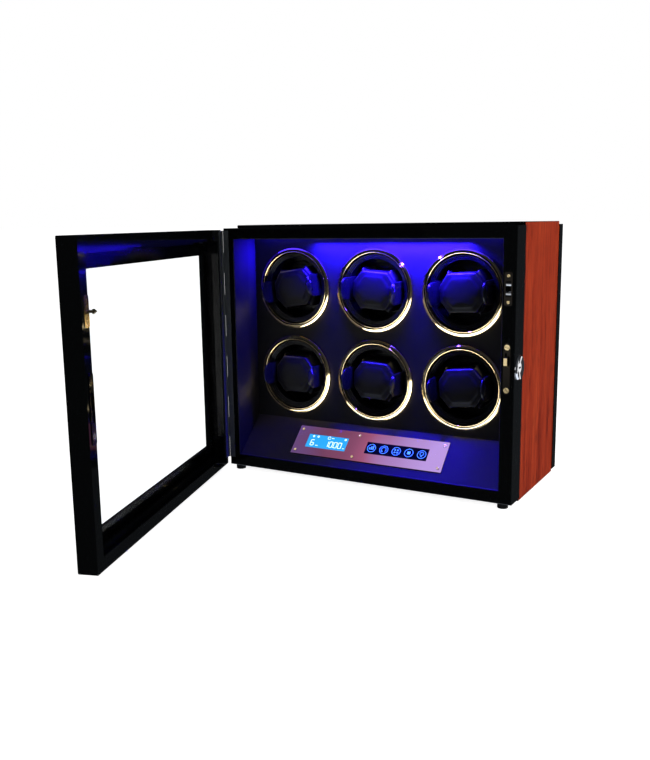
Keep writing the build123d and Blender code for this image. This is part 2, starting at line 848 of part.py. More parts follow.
# ---------------------------------------------------------------- roller catch
with BuildPart() as roller_catch:
    with BuildSketch(wall(0)):
        with Locations((hardware_x, catch_z)):
            RectangleRounded(catch_plate_width, catch_plate_length, corner_share * catch_plate_width)
        with Locations(*catch_screws):
            Circle(small_head_radius + hole_allowance, mode=Mode.SUBTRACT)
    extrude(amount=face_plate)
    with BuildSketch(wall(0)):
        with Locations((hardware_x, catch_z)):
            Rectangle(lock_case_width - 2 * hole_allowance, catch_body_height - 2 * hole_allowance)
    extrude(amount=-catch_body_depth)
    with BuildSketch(wall(-face_plate)):
        with Locations((hardware_x, catch_z)):
            Rectangle(lock_case_width - 2 * catch_wall, catch_body_height - 2 * catch_wall)
    extrude(amount=-(catch_body_depth + face_plate - catch_wall), mode=Mode.SUBTRACT)
    with BuildSketch(side(hardware_x - lock_case_width)):
        for way in (-1, 1):
            with Locations(
                (y_at(roller_depth), catch_z + way * (roller_spacing + roller_give - roller_travel) / 2)
            ):
                SlotCenterToCenter(
                    roller_travel + roller_give, 2 * (roller_axle_radius + hole_allowance), rotation=90
                )
    extrude(amount=2 * lock_case_width, mode=Mode.SUBTRACT)
keep(roller_catch, "roller_catch")

for name, way in (("catch_roller_lower", -1), ("catch_roller_upper", 1)):
    with BuildPart() as roller:
        with BuildSketch(side(hardware_x)):
            with Locations((y_at(roller_depth), catch_z + way * roller_spacing / 2)):
                Circle(roller_radius)
        extrude(amount=roller_length / 2, both=True)
        with BuildSketch(side(hardware_x)):
            with Locations((y_at(roller_depth), catch_z + way * roller_spacing / 2)):
                Circle(roller_axle_radius)
        extrude(amount=lock_case_width / 2 - 2 * hole_allowance, both=True)
    keep(roller, name)

# ---------------------------------------------------------------- lock, its bolt and its cylinder
with BuildPart() as door_lock:
    with BuildSketch(wall(0)):
        with Locations((hardware_x, lock_z)):
            SlotOverall(lock_plate_length, lock_plate_width, rotation=90)
        with Locations(*lock_screws):
            Circle(brass_head_radius + hole_allowance, mode=Mode.SUBTRACT)
    extrude(amount=face_plate)
    with BuildSketch(wall(0)):
        with Locations((hardware_x, lock_z)):
            Rectangle(lock_case_width - 2 * hole_allowance, lock_case_height - 2 * hole_allowance)
    extrude(amount=-lock_case_depth)
    # the bolt's chamber, and the window that its hook comes out of
    with BuildSketch(wall(lock_wall)):
        with Locations((hardware_x, lock_z)):
            Rectangle(
                bolt_thickness + 2 * bolt_play, bolt_height + 2 * crank_drop + 2 * bolt_play
            )
    extrude(amount=-(bolt_depth + 2 * bolt_play), mode=Mode.SUBTRACT)
    with BuildSketch(wall(-face_plate)):
        with Locations((hardware_x, lock_z + hook_low - bolt_play)):
            Rectangle(
                bolt_thickness + 2 * bolt_play,
                hook_shank + hook_tip + crank_rise + 2 * bolt_play,
                align=(Align.CENTER, Align.MIN),
            )
    extrude(amount=-(lock_wall + face_plate + bolt_play), mode=Mode.SUBTRACT)
    with BuildSketch(side(hardware_x)):
        with Locations((y_at(plug_depth), lock_z)):
            Circle(cam_radius + running_clearance)
    extrude(amount=lock_case_width, mode=Mode.SUBTRACT)
keep(door_lock, "door_lock")

with BuildPart() as lock_bolt:
    bolt_y = y_at(lock_wall + bolt_play)
    bolt_z = lock_z - crank_drop
    hook_z = lock_z + hook_low
    with BuildSketch(side(hardware_x - bolt_thickness / 2)):
        with Locations((bolt_y, bolt_z)):
            Rectangle(bolt_depth, bolt_height, align=(Align.MIN, Align.CENTER))
        with BuildLine():
            Polyline(
                (bolt_y, hook_z),
                (y_at(-hook_reach), hook_z + hook_tip / 2),
                (y_at(-hook_reach), hook_z + hook_shank + hook_tip - hook_bevel),
                (y_at(-hook_reach) + hook_bevel, hook_z + hook_shank + hook_tip),
                (y_at(-hook_lip_start), hook_z + hook_shank + hook_tip),
                (y_at(-hook_lip_start), hook_z + hook_shank),
                (bolt_y, hook_z + hook_shank),
                close=True,
            )
        make_face()
        with Locations((y_at(plug_depth - crank_middle), lock_z - crank_drop)):
            SlotCenterToCenter(
                crank_radius - crank_forward + crank_play,
                2 * (crank_pin_radius + crank_play),
                mode=Mode.SUBTRACT,
            )
    extrude(amount=bolt_thickness)
keep(lock_bolt, "lock_bolt")

with BuildPart() as lock_plug:
    with BuildSketch(side(case_right + hole_allowance)):
        with Locations((y_at(plug_depth), lock_z)):
            Circle(plug_radius)
    extrude(amount=plug_face - case_right - hole_allowance)
    with BuildSketch(side(case_right + hole_allowance)):
        with Locations((y_at(plug_depth), lock_z)):
            Circle(cam_radius)
    extrude(amount=-(case_right - hardware_x - bolt_thickness / 2))
    with BuildSketch(side(case_right)):
        with Locations((y_at(plug_depth - crank_forward), lock_z - crank_drop)):
            Circle(crank_pin_radius)
    extrude(amount=-(case_right - hardware_x + bolt_thickness / 2))
    with BuildSketch(side(plug_face)):
        with Locations((y_at(plug_depth), lock_z)):
            SlotOverall(keyway_width, keyway_height)
    extrude(amount=-keyway_depth, mode=Mode.SUBTRACT)
keep(lock_plug, "lock_plug")

with BuildPart() as lock_cylinder:
    with BuildSketch(Plane.XY.offset(lock_z)):
        with BuildLine():
            rim_x = half_width + rosette_height
            plug_hole = plug_radius + running_clearance
            dish = Polyline(
                (plug_face, y_at(plug_depth) + plug_hole),
                (case_right, y_at(plug_depth) + plug_hole),
                (case_right, y_at(plug_depth) + cylinder_radius - hole_allowance),
                (half_width, y_at(plug_depth) + cylinder_radius - hole_allowance),
                (half_width, y_at(plug_depth) + rosette_radius),
                (half_width + rosette_edge, y_at(plug_depth) + rosette_radius),
                (rim_x, y_at(plug_depth) + rosette_radius - rosette_height / 2),
            )
            Spline(
                dish @ 1,
                (half_width + rosette_height - rosette_dish / 2, y_at(plug_depth) + cylinder_radius),
                dish @ 0,
            )
        make_face()
    revolve(axis=Axis((0, y_at(plug_depth), lock_z), (1, 0, 0)))
keep(lock_cylinder, "lock_cylinder")

# ---------------------------------------------------------------- door
with BuildPart() as door_frame:
    with BuildSketch(door_plane.offset(door_face)):
        with Locations((door_mid_u, door_middle)):
            Rectangle(door_width, door_height)
            Rectangle(door_width - 2 * door_rail, door_height - 2 * door_rail, mode=Mode.SUBTRACT)
    extrude(amount=door_thickness)
    with BuildSketch(door_plane.offset(door_face)):
        with Locations((door_mid_u, door_middle)):
            Rectangle(door_width - 2 * door_rim, door_height - 2 * door_rim)
    extrude(amount=glass_back - door_face, mode=Mode.SUBTRACT)
    outer_edges = door_frame.edges().group_by(Axis(door_plane.origin, door_plane.z_dir))[-1]
    fillet(outer_edges.sort_by(SortBy.LENGTH)[-4:], edge_radius)
    with BuildSketch(door_plane.offset(door_face)):
        with Locations((hardware_u, lock_z + upper_slot_low - strike_play)):
            Rectangle(
                strike_slot_width,
                upper_slot_height + strike_pocket_rise + strike_play,
                align=(Align.CENTER, Align.MIN),
            )
    extrude(amount=strike_pocket_depth, mode=Mode.SUBTRACT)
    with BuildSketch(door_plane.offset(door_face)):
        with Locations(*door_hinge_screws, *spear_screws, *strike_screws):
            Circle(small_shank_radius + hole_allowance)
    extrude(amount=small_shank_length + fit_gap, mode=Mode.SUBTRACT)
keep(door_frame, "door_frame")

with BuildPart() as door_glass:
    with BuildSketch(door_plane.offset(glass_front)):
        with Locations((door_mid_u, door_middle)):
            Rectangle(
                door_width - 2 * door_rim - 2 * glass_play, door_height - 2 * door_rim - 2 * glass_play
            )
    extrude(amount=glass_thickness)
keep(door_glass, "door_glass")

with BuildPart() as glass_bead:
    with BuildSketch(door_plane.offset(glass_front)):
        with Locations((door_mid_u, door_middle)):
            Rectangle(door_width - 2 * door_rim, door_height - 2 * door_rim)
            Rectangle(
                door_width - 2 * door_rim - 2 * bead_size,
                door_height - 2 * door_rim - 2 * bead_size,
                mode=Mode.SUBTRACT,
            )
    extrude(amount=-bead_size)
keep(glass_bead, "glass_bead")

with BuildPart() as catch_spear:
    with BuildSketch(door_plane.offset(door_face)):
        with Locations((hardware_u, catch_z)):
            RectangleRounded(catch_plate_width, spear_plate_length, corner_share * catch_plate_width)
        with Locations(*spear_screws):
            Circle(small_head_radius + hole_allowance, mode=Mode.SUBTRACT)
    extrude(amount=-face_plate)
    with BuildSketch(door_section(hardware_u + spear_width / 2)):
        with BuildLine():
            spear_tip = door_face - spear_length
            barb = spear_tip + spear_head_length
            half_spear = Polyline(
                (door_face - face_plate / 2, catch_z),
                (door_face - face_plate / 2, catch_z + spear_neck / 2),
                (barb, catch_z + spear_neck / 2),
                (barb, catch_z + spear_head / 2),
                (spear_tip, catch_z),
            )
            mirror(half_spear, about=Plane.XZ.offset(-catch_z))
        make_face()
    extrude(amount=spear_width)
keep(catch_spear, "catch_spear")

with BuildPart() as lock_strike:
    with BuildSketch(door_plane.offset(door_face)):
        with Locations((hardware_u, lock_z)):
            RectangleRounded(strike_width, strike_length, corner_share * strike_width)
        for slot_low, slot_height in (
            (upper_slot_low, upper_slot_height),
            (lower_slot_low, lower_slot_height),
        ):
            with Locations((hardware_u, lock_z + slot_low)):
                Rectangle(
                    strike_slot_width,
                    slot_height,
                    align=(Align.CENTER, Align.MIN),
                    mode=Mode.SUBTRACT,
                )
        with Locations(*strike_screws):
            Circle(brass_head_radius + hole_allowance, mode=Mode.SUBTRACT)
    extrude(amount=-face_plate)
keep(lock_strike, "lock_strike")

# ---------------------------------------------------------------- continuous hinge
# the knuckles alternate: the door's at both ends, the frame's between them
knuckle_heights = [hinge_bottom + knuckle_gap / 2 + number * knuckle_pitch for number in range(knuckle_count)]

with BuildPart() as hinge_frame_leaves:
    with BuildSketch(wall(0)):
        with Locations((leaf_near - half_width, hinge_bottom)):
            Rectangle(hinge_leaf_width, hinge_height, align=(Align.MIN, Align.MIN))
        with Locations(*frame_hinge_screws):
            Circle(small_head_radius + hole_allowance, mode=Mode.SUBTRACT)
    extrude(amount=leaf_thickness)
    for knuckle_z in knuckle_heights[1::2]:
        with BuildSketch(level(knuckle_z)):
            with Locations((hinge_x, hinge_y)):
                Circle(knuckle_radius)
            with Locations((hinge_x, front_y)):
                Rectangle(
                    leaf_near + hinge_axis_offset, leaf_thickness, align=(Align.MIN, Align.MAX)
                )
            with Locations((hinge_x, hinge_y)):
                Circle(hinge_pin_radius + running_clearance, mode=Mode.SUBTRACT)
        extrude(amount=knuckle_length)
    with BuildSketch(level(hinge_bottom)):
        with Locations((hinge_x, hinge_y)):
            Circle(hinge_pin_radius)
    extrude(amount=hinge_height)
keep(hinge_frame_leaves, "hinge_frame_leaves")

with BuildPart() as hinge_door_leaves:
    with BuildSketch(door_plane.offset(door_face)):
        with Locations((leaf_near + hinge_axis_offset, hinge_bottom)):
            Rectangle(hinge_leaf_width, hinge_height, align=(Align.MIN, Align.MIN))
        with Locations(*door_hinge_screws):
            Circle(small_head_radius + hole_allowance, mode=Mode.SUBTRACT)
    extrude(amount=-leaf_thickness)
    for knuckle_z in knuckle_heights[::2]:
        with BuildSketch(
            Plane(origin=(hinge_x, hinge_y, knuckle_z), x_dir=door_plane.x_dir, z_dir=(0, 0, 1))
        ):
            Circle(knuckle_radius)
            with Locations((0, -door_face)):
                Rectangle(
                    leaf_near + hinge_axis_offset, leaf_thickness, align=(Align.MIN, Align.MIN)
                )
            Circle(hinge_pin_radius + running_clearance, mode=Mode.SUBTRACT)
        extrude(amount=knuckle_length)
keep(hinge_door_leaves, "hinge_door_leaves")

# ---------------------------------------------------------------- screws
flush_screw = screw(small_head_radius, face_plate, small_shank_radius, small_shank_length)
lock_screw = screw(brass_head_radius, face_plate, small_shank_radius, small_shank_length)
plate_screw = screw(
    plate_head_radius, plate_head_height, small_shank_radius, plate_thickness + console_thickness / 2
)
cover_screw = screw(cover_head_radius, cover_head_height, cover_shank_radius, cover_shank_length)

with BuildPart() as cabinet_screws:
    with Locations(*[wall(0).location * Location((x, z, 0)) for x, z in frame_hinge_screws + catch_screws]):
        add(flush_screw)
    with Locations(*[wall(0).location * Location((x, z, 0)) for x, z in lock_screws]):
        add(lock_screw)
    plate_seat = console_plane.offset(plate_thickness).location
    with Locations(*[plate_seat * Location((x, s, 0)) for x, s in plate_screw_points]):
        add(plate_screw)
    with Locations(*[cover_plane.location * Location((x, z, 0)) for x, z in cover_screw_points]):
        add(cover_screw)
keep(cabinet_screws, "cabinet_screws")

door_screw_plane = Plane(
    origin=door_plane.origin + door_plane.z_dir * door_face,
    x_dir=-door_plane.x_dir,
    z_dir=-door_plane.z_dir,
)
with BuildPart() as door_screws:
    with Locations(
        *[door_screw_plane.location * Location((-u, z, 0)) for u, z in door_hinge_screws + spear_screws]
    ):
        add(flush_screw)
    with Locations(*[door_screw_plane.location * Location((-u, z, 0)) for u, z in strike_screws]):
        add(lock_screw)
keep(door_screws, "door_screws")
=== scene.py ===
"""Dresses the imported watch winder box: finishes, rings, cushions, display, icons, glow and studio.

The CAD model is the fixed frame. Places on the box are read from its nodes, in metres, with X to the
right, Y from the glass door to the back and Z up.
"""
import json
import logging
import math
from dataclasses import dataclass
from enum import Enum
from typing import Any, ClassVar, Iterable, Sequence

import bmesh
import bpy
import numpy as np
from mathutils import Matrix, Vector


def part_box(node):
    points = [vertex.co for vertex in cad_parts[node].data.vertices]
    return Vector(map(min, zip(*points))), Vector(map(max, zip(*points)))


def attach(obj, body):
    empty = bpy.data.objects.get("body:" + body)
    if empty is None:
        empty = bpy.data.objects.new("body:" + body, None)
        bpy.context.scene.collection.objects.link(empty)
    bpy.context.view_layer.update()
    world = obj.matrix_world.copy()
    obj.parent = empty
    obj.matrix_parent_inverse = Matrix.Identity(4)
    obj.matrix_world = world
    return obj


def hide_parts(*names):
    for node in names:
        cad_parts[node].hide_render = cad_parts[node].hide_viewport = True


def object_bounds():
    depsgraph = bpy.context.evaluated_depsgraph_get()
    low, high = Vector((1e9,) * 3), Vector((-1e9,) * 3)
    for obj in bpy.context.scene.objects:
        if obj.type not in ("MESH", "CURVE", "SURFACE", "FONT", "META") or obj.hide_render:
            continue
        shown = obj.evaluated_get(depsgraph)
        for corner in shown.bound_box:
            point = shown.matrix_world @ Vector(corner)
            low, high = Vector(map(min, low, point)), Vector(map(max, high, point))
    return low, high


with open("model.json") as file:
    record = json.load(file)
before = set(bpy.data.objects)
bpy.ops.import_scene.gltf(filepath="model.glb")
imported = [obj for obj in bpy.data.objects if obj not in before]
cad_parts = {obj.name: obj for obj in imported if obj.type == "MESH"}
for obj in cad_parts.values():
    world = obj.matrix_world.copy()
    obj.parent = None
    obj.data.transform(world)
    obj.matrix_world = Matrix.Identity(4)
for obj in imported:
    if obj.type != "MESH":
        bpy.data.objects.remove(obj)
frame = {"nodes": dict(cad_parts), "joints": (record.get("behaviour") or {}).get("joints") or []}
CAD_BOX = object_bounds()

Tree, Socket = bpy.types.NodeTree, bpy.types.NodeSocket
Form = tuple[np.ndarray, Any]
Pair = tuple[float, float]
Stops = tuple[tuple[float, str], ...]

LOG = logging.getLogger("winder_box")
MM = 0.001
STATIONS = range(1, 7)
SQUARE = ((-1, -1), (1, -1), (1, 1), (-1, 1))
# Degrees by which the holders stand turned, as the drums stopped.
HOLDER_TILTS = (9.0, -4.0, 3.0, 0.0, -2.0, 5.5)
# Takes a flat outline's x and y to the box's x and z, and its thickness towards the door.
FACING_FRONT = Matrix(((1, 0, 0, 0), (0, 0, -1, 0), (0, 1, 0, 0), (0, 0, 0, 1)))
WHITE = "FFFFFF"
LED_BLUE = "2410FF"
GLINT_BLUE = "3C28FF"


# ---- colour and nodes
def linear(code: str, alpha: float = 1.0) -> tuple[float, float, float, float]:
    """Turn an sRGB hex colour into Blender's linear colour.

    Args:
        code: six hex digits, with or without a leading hash.
        alpha: the fourth value of the result.

    Returns:
        Red, green, blue and alpha, linear.
    """
    digits = code.lstrip("#")
    parts = [int(digits[i : i + 2], 16) / 255 for i in (0, 2, 4)]
    red, green, blue = (c / 12.92 if c <= 0.04045 else ((c + 0.055) / 1.055) ** 2.4 for c in parts)
    return (red, green, blue, alpha)


def feed(node: bpy.types.Node, inputs: dict[Any, Any]) -> None:
    """Fill a node's inputs.

    Args:
        node: the node.
        inputs: input socket name or number, with its value or the output socket that feeds it.
    """
    for key, value in inputs.items():
        if isinstance(value, Socket):
            node.id_data.links.new(value, node.inputs[key])
        else:
            node.inputs[key].default_value = value


def add_node(tree: Tree, kind: str, inputs: dict[Any, Any] | None = None, **settings: Any) -> bpy.types.Node:
    """Add a node with its settings and inputs.

    Args:
        tree: the node tree that gets the node.
        kind: Blender's name for the node type, after "ShaderNode".
        inputs: input socket name or number, with its value or the output socket that feeds it.
        settings: the node's own properties.

    Returns:
        The new node.
    """
    node = tree.nodes.new(f"ShaderNode{kind}")
    for name, value in settings.items():
        setattr(node, name, value)
    feed(node, inputs or {})
    return node


def calc(tree: Tree, operation: str, *terms: Any) -> Socket:
    """One step of arithmetic on numbers and sockets."""
    return add_node(tree, "Math", dict(enumerate(terms)), operation=operation).outputs["Value"]


def remap(tree: Tree, value: Socket, to: Sequence[float], span: Sequence[float] = (0.0, 1.0)) -> Socket:
    """Carry a span of a value to another span, held at both ends."""
    ends = {"From Min": span[0], "From Max": span[1], "To Min": to[0], "To Max": to[1]}
    return add_node(tree, "MapRange", {"Value": value, **ends}).outputs["Result"]


def noise(tree: Tree, place: Socket, size: float, detail: float, **more: float) -> Socket:
    """Cloudy noise whose clouds are about one size across, in the unit of the place."""
    inputs = {"Vector": place, "Scale": 1 / size, "Detail": detail, **more}
    return add_node(tree, "TexNoise", inputs).outputs["Fac"]


def bump(tree: Tree, height: Socket, strength: float, distance: float) -> Socket:
    """A normal that leans with a height."""
    inputs = {"Height": height, "Strength": strength, "Distance": distance}
    return add_node(tree, "Bump", inputs).outputs["Normal"]


def blend(tree: Tree, share: Any, first: Any, second: Any, how: str = "MIX") -> Socket:
    """Mix two colours, each a value or a socket."""
    inputs = {0: share, 6: first, 7: second}
    return add_node(tree, "Mix", inputs, data_type="RGBA", blend_type=how).outputs[2]


def ramp(tree: Tree, value: Socket, stops: Stops) -> Socket:
    """Colour a value from 0 to 1.

    Args:
        tree: the node tree.
        value: the socket with the value.
        stops: place from 0 to 1 and hex colour of each stop.

    Returns:
        The socket with the colour.
    """
    node = add_node(tree, "ValToRGB", {"Fac": value})
    elements = node.color_ramp.elements
    while len(elements) < len(stops):
        elements.new(0.5)
    for element, (place, code) in zip(elements, stops):
        element.position = place
        element.color = linear(code)
    return node.outputs["Color"]


# ---- meshes
def grid_faces(rows: int, columns: int, close_rows: bool, close_columns: bool) -> np.ndarray:
    """Quads of a grid of points, row after row.

    Args:
        rows: points along the first parameter.
        columns: points along the second parameter.
        close_rows: the last row joins the first.
        close_columns: the last column joins the first.

    Returns:
        An array of four point numbers per face.
    """
    r = np.arange(rows if close_rows else rows - 1)
    c = np.arange(columns if close_columns else columns - 1)
    i, j = np.meshgrid(r, c, indexing="ij")
    i, i2, j2 = i * columns, (i + 1) % rows * columns, (j + 1) % columns
    return np.stack([i + j, i + j2, i2 + j2, i2 + j], -1).reshape(-1, 4)


def make_object(
    name: str,
    points: np.ndarray,
    faces: Sequence[Sequence[int]] | np.ndarray,
    material: bpy.types.Material,
    smooth: bool = True,
) -> bpy.types.Object:
    """Turn points and faces into an object at the origin, with its faces pointing outwards.

    Args:
        name: the piece's name.
        points: an n by 3 array in metres.
        faces: point numbers of each face.
        material: its finish.
        smooth: shade it smooth where its faces meet at under 35 degrees.

    Returns:
        The linked object.
    """
    mesh = bpy.data.meshes.new(name)
    mesh.from_pydata(np.asarray(points, float).tolist(), [], [list(map(int, f)) for f in faces])
    mesh.materials.append(material)
    mesh.update()
    recalculate(mesh)
    if smooth:
        mesh.shade_smooth()
        mesh.set_sharp_from_angle(angle=math.radians(35))
    piece = bpy.data.objects.new(name, mesh)
    bpy.context.scene.collection.objects.link(piece)
    return piece


def recalculate(mesh: bpy.types.Mesh) -> None:
    """Merge a mesh's doubles and turn its faces outwards.

    Args:
        mesh: the mesh, which is changed.
    """
    work = bmesh.new()
    work.from_mesh(mesh)
    bmesh.ops.remove_doubles(work, verts=work.verts, dist=1e-7)
    bmesh.ops.recalc_face_normals(work, faces=work.faces)
    work.to_mesh(mesh)
    work.free()


def table(rows: Any, name: str) -> np.ndarray:
    """A vector property of a mesh's vertices or faces, as an n by 3 array.

    Args:
        rows: the mesh's vertices or polygons.
        name: the property.

    Returns:
        One row for each of them.
    """
    values = np.empty(len(rows) * 3)
    rows.foreach_get(name, values)
    return values.reshape(-1, 3)


def refinish(mesh: bpy.types.Mesh, chosen: np.ndarray, finish: "Finish") -> None:
    """Give the chosen faces of a mesh a second finish."""
    mesh.materials.append(finish.material())
    mesh.polygons.foreach_set("material_index", chosen.astype(np.int32))


def bake(piece: bpy.types.Object) -> None:
    """Apply all of a piece's modifiers.

    Args:
        piece: the object, which gets a new mesh.
    """
    graph = bpy.context.evaluated_depsgraph_get()
    graph.update()
    mesh = bpy.data.meshes.new_from_object(piece.evaluated_get(graph))
    piece.modifiers.clear()
    old = piece.data
    piece.data = mesh
    bpy.data.meshes.remove(old)


def moved(points: np.ndarray, place: Matrix) -> np.ndarray:
    """Carry an n by 3 array of points through a matrix."""
    return (np.column_stack([points, np.ones(len(points))]) @ np.array(place).T)[:, :3]


def framed(x: Sequence[float], y: Sequence[float], z: Sequence[float], origin: Sequence[float]) -> Matrix:
    """Matrix that takes the three axes to three directions and the origin to a point."""
    turn = Matrix([Vector(axis) for axis in (x, y, z)]).transposed().to_4x4()
    return Matrix.Translation(Vector(origin)) @ turn


def revolved(profile: Sequence[tuple[float, float]], centre: Vector, segments: int) -> Form:
    """Turn a closed profile about an axis along Y.

    A point is (centre x + radius cos a, y, centre z + radius sin a), for a from 0 to a full turn.

    Args:
        profile: radius and y of each point, in metres, as a loop that never crosses the axis.
        centre: a point on the axis; its y isn't used.
        segments: steps round the axis.

    Returns:
        The points and the quads.
    """
    radius, depth = np.asarray(profile, float).T[:, None, :]
    turn = np.linspace(0, 2 * np.pi, segments, endpoint=False)[:, None]
    x, z = centre.x + radius * np.cos(turn), centre.z + radius * np.sin(turn)
    points = np.stack([x, np.broadcast_to(depth, x.shape), z], -1).reshape(-1, 3)
    return points, grid_faces(segments, len(profile), True, True)


def rounded_loop(corners: Sequence[tuple[float, float, float]], steps: int = 6) -> np.ndarray:
    """Outline with arcs at its corners.

    Args:
        corners: x, y and corner radius of each corner, in order.
        steps: points along each arc.

    Returns:
        An n by 2 array.
    """
    given = np.asarray(corners, float)
    out = []
    for before, here, after in zip(np.roll(given, 1, 0), given, np.roll(given, -1, 0)):
        a, b = before[:2] - here[:2], after[:2] - here[:2]
        a, b = a / np.linalg.norm(a), b / np.linalg.norm(b)
        half = math.acos(float(np.clip(a @ b, -1, 1))) / 2
        if here[2] <= 0:
            out.append(here[:2][None, :])
            continue
        back = here[2] / math.tan(half)
        middle = here[:2] + (a + b) / np.linalg.norm(a + b) * here[2] / math.sin(half)
        start, end = here[:2] + a * back - middle, here[:2] + b * back - middle
        angle0 = math.atan2(start[1], start[0])
        sweep = (math.atan2(end[1], end[0]) - angle0 + math.pi) % (2 * math.pi) - math.pi
        t = angle0 + sweep * np.linspace(0, 1, steps)
        out.append(middle + here[2] * np.stack([np.cos(t), np.sin(t)], -1))
    return np.vstack(out)


def inset(loop: np.ndarray, distance: float) -> np.ndarray:
    """Move a counter-clockwise outline inwards along the mean of its neighbours' normals.

    Args:
        loop: n by 2 outline.
        distance: how far each point moves.

    Returns:
        The moved outline.
    """
    ahead, behind = np.roll(loop, -1, 0), np.roll(loop, 1, 0)
    along = ahead - behind
    along /= np.linalg.norm(along, axis=1)[:, None]
    return loop + distance * np.stack([-along[:, 1], along[:, 0]], -1)


def plate(
    outline: np.ndarray, thickness: float, edge: float, place: Matrix, steps: int = 4, crown: float = 0.0
) -> Form:
    """Closed plate with rounded edges.

    Its rings are the outline moved in by edge (1 - sin t) at height edge (1 - cos t), and by
    edge (1 - cos t) at height thickness - edge (1 - sin t), for t from 0 to a quarter turn. Smaller
    rings close the upper cap, and a crown lifts its middle.

    Args:
        outline: counter-clockwise n by 2 outline in metres.
        thickness: the plate's thickness, from z 0 upwards.
        edge: radius of its rounded edges.
        place: the matrix that takes the plate to its place.
        steps: rings in each rounding.
        crown: extra height of the upper cap's middle.

    Returns:
        The points and the faces.
    """
    t = np.linspace(0, np.pi / 2, steps + 1)
    lower = [(edge * (1 - math.sin(a)), edge * (1 - math.cos(a))) for a in t]
    upper = [(edge * (1 - math.cos(a)), thickness - edge * (1 - math.sin(a))) for a in t]
    rings = [
        np.column_stack([inset(outline, move), np.full(len(outline), height)])
        for move, height in lower + upper
    ]
    count, middle, top = len(outline), outline.mean(0), rings[-1]
    for share in (0.75, 0.5, 0.25):
        ring = middle + (top[:, :2] - middle) * share
        rings.append(np.column_stack([ring, np.full(count, thickness + crown * (1 - share**2))]))
    points = np.vstack(rings + [[*middle, thickness + crown], [*middle, 0.0]])
    faces = grid_faces(len(rings), count, False, True).tolist()
    last, apex, base = (len(rings) - 1) * count, len(points) - 2, len(points) - 1
    faces += [[last + k, last + (k + 1) % count, apex] for k in range(count)]
    faces += [[k, base, (k + 1) % count] for k in range(count)]
    return moved(points, place), faces


def joined(parts: Iterable[Form]) -> Form:
    """Put several point-and-face pairs into one.

    Args:
        parts: the pairs.

    Returns:
        One pair of points and faces.
    """
    points, faces, start = [], [], 0
    for part_points, part_faces in parts:
        points.append(part_points)
        faces += [[int(k) + start for k in face] for face in part_faces]
        start += len(part_points)
    return np.vstack(points), faces


# ---- finishes
@dataclass(frozen=True)
class Finish:
    """A finish with the values that its shader's own sockets hold."""

    name: str
    colour: str
    roughness: float
    metallic: float = 0.0
    wander: Pair = (1.0, 1.0)

    def material(self) -> bpy.types.Material:
        """Make the material, or return the one made before.

        Returns:
            The material of this finish's name.
        """
        made = bpy.data.materials.get(self.name)
        if made is None:
            made = bpy.data.materials.new(self.name)
            made.use_nodes = True
            tree = made.node_tree
            shader = tree.nodes["Principled BSDF"]
            feed(shader, {"Base Color": linear(self.colour), "Roughness": self.roughness})
            feed(shader, {"Metallic": self.metallic})
            feed(shader, self.pattern(tree, add_node(tree, "TexCoord").outputs["Object"]))
        return made

    def pattern(self, tree: Tree, place: Socket) -> dict[str, Any]:
        """Add this finish's pattern.

        Args:
            tree: the material's node tree.
            place: the socket with Object coordinates.

        Returns:
            The shader's inputs that the pattern fills.
        """
        return {}

    def uneven(self, tree: Tree, value: Socket) -> Socket:
        """Roughness that wanders with a value between two multiples of the finish's own."""
        return remap(tree, value, [min(self.roughness * share, 1.0) for share in self.wander])


@dataclass(frozen=True)
class PianoLacquer(Finish):
    """Black polyester lacquer, sprayed and buffed: a deep black mirror with a trace of orange peel."""

    wander: Pair = (0.8, 1.4)
    peel: float = 9 * MM
    wave: float = 0.2 * MM
    strength: float = 0.02

    def pattern(self, tree: Tree, place: Socket) -> dict[str, Any]:
        """Long, very shallow waves."""
        waves = noise(tree, place, self.peel, 1.0)
        lean = bump(tree, waves, self.strength, self.wave)
        return {"Normal": lean, "Roughness": self.uneven(tree, waves)}


@dataclass(frozen=True)
class OpeningLacquer(PianoLacquer):
    """The same lacquer on a frame whose opening is sprayed but not buffed, so that its reveal is dull; the
    reveal also gets a paler tint that is painted sheen.
    """

    reveal: float = 0.5
    # painted sheen: a paler tint for the reveal, standing in for the grey light on the opening's inner faces
    reveal_sheen_colour: str = "131116"
    middle: float = 168 * MM
    near: float = 50 * MM

    def pattern(self, tree: Tree, place: Socket) -> dict[str, Any]:
        """Faces that look towards the opening's axis, from beyond a distance, are duller, and paler as
        painted sheen.
        """
        buffed = super().pattern(tree, place)
        centred = add_node(tree, "VectorMath", {0: place, 1: (0.0, 0.0, self.middle)}, operation="SUBTRACT")
        flat = {0: centred.outputs["Vector"], 1: (1.0, 0.0, 1.0)}
        beside = add_node(tree, "VectorMath", flat, operation="MULTIPLY").outputs["Vector"]
        normal = add_node(tree, "NewGeometry").outputs["Normal"]
        towards = add_node(tree, "VectorMath", {0: beside, 1: normal}, operation="DOT_PRODUCT")
        inner = calc(tree, "LESS_THAN", towards.outputs["Value"], -self.near)
        hazes = {0: inner, 2: buffed["Roughness"], 3: self.reveal}
        haze = add_node(tree, "Mix", hazes, data_type="FLOAT").outputs[0]
        # painted sheen: the reveal faces take the paler tint in place of the lacquer's black
        tinted = blend(tree, inner, linear(self.colour), linear(self.reveal_sheen_colour))
        return {**buffed, "Roughness": haze, "Base Color": tinted}


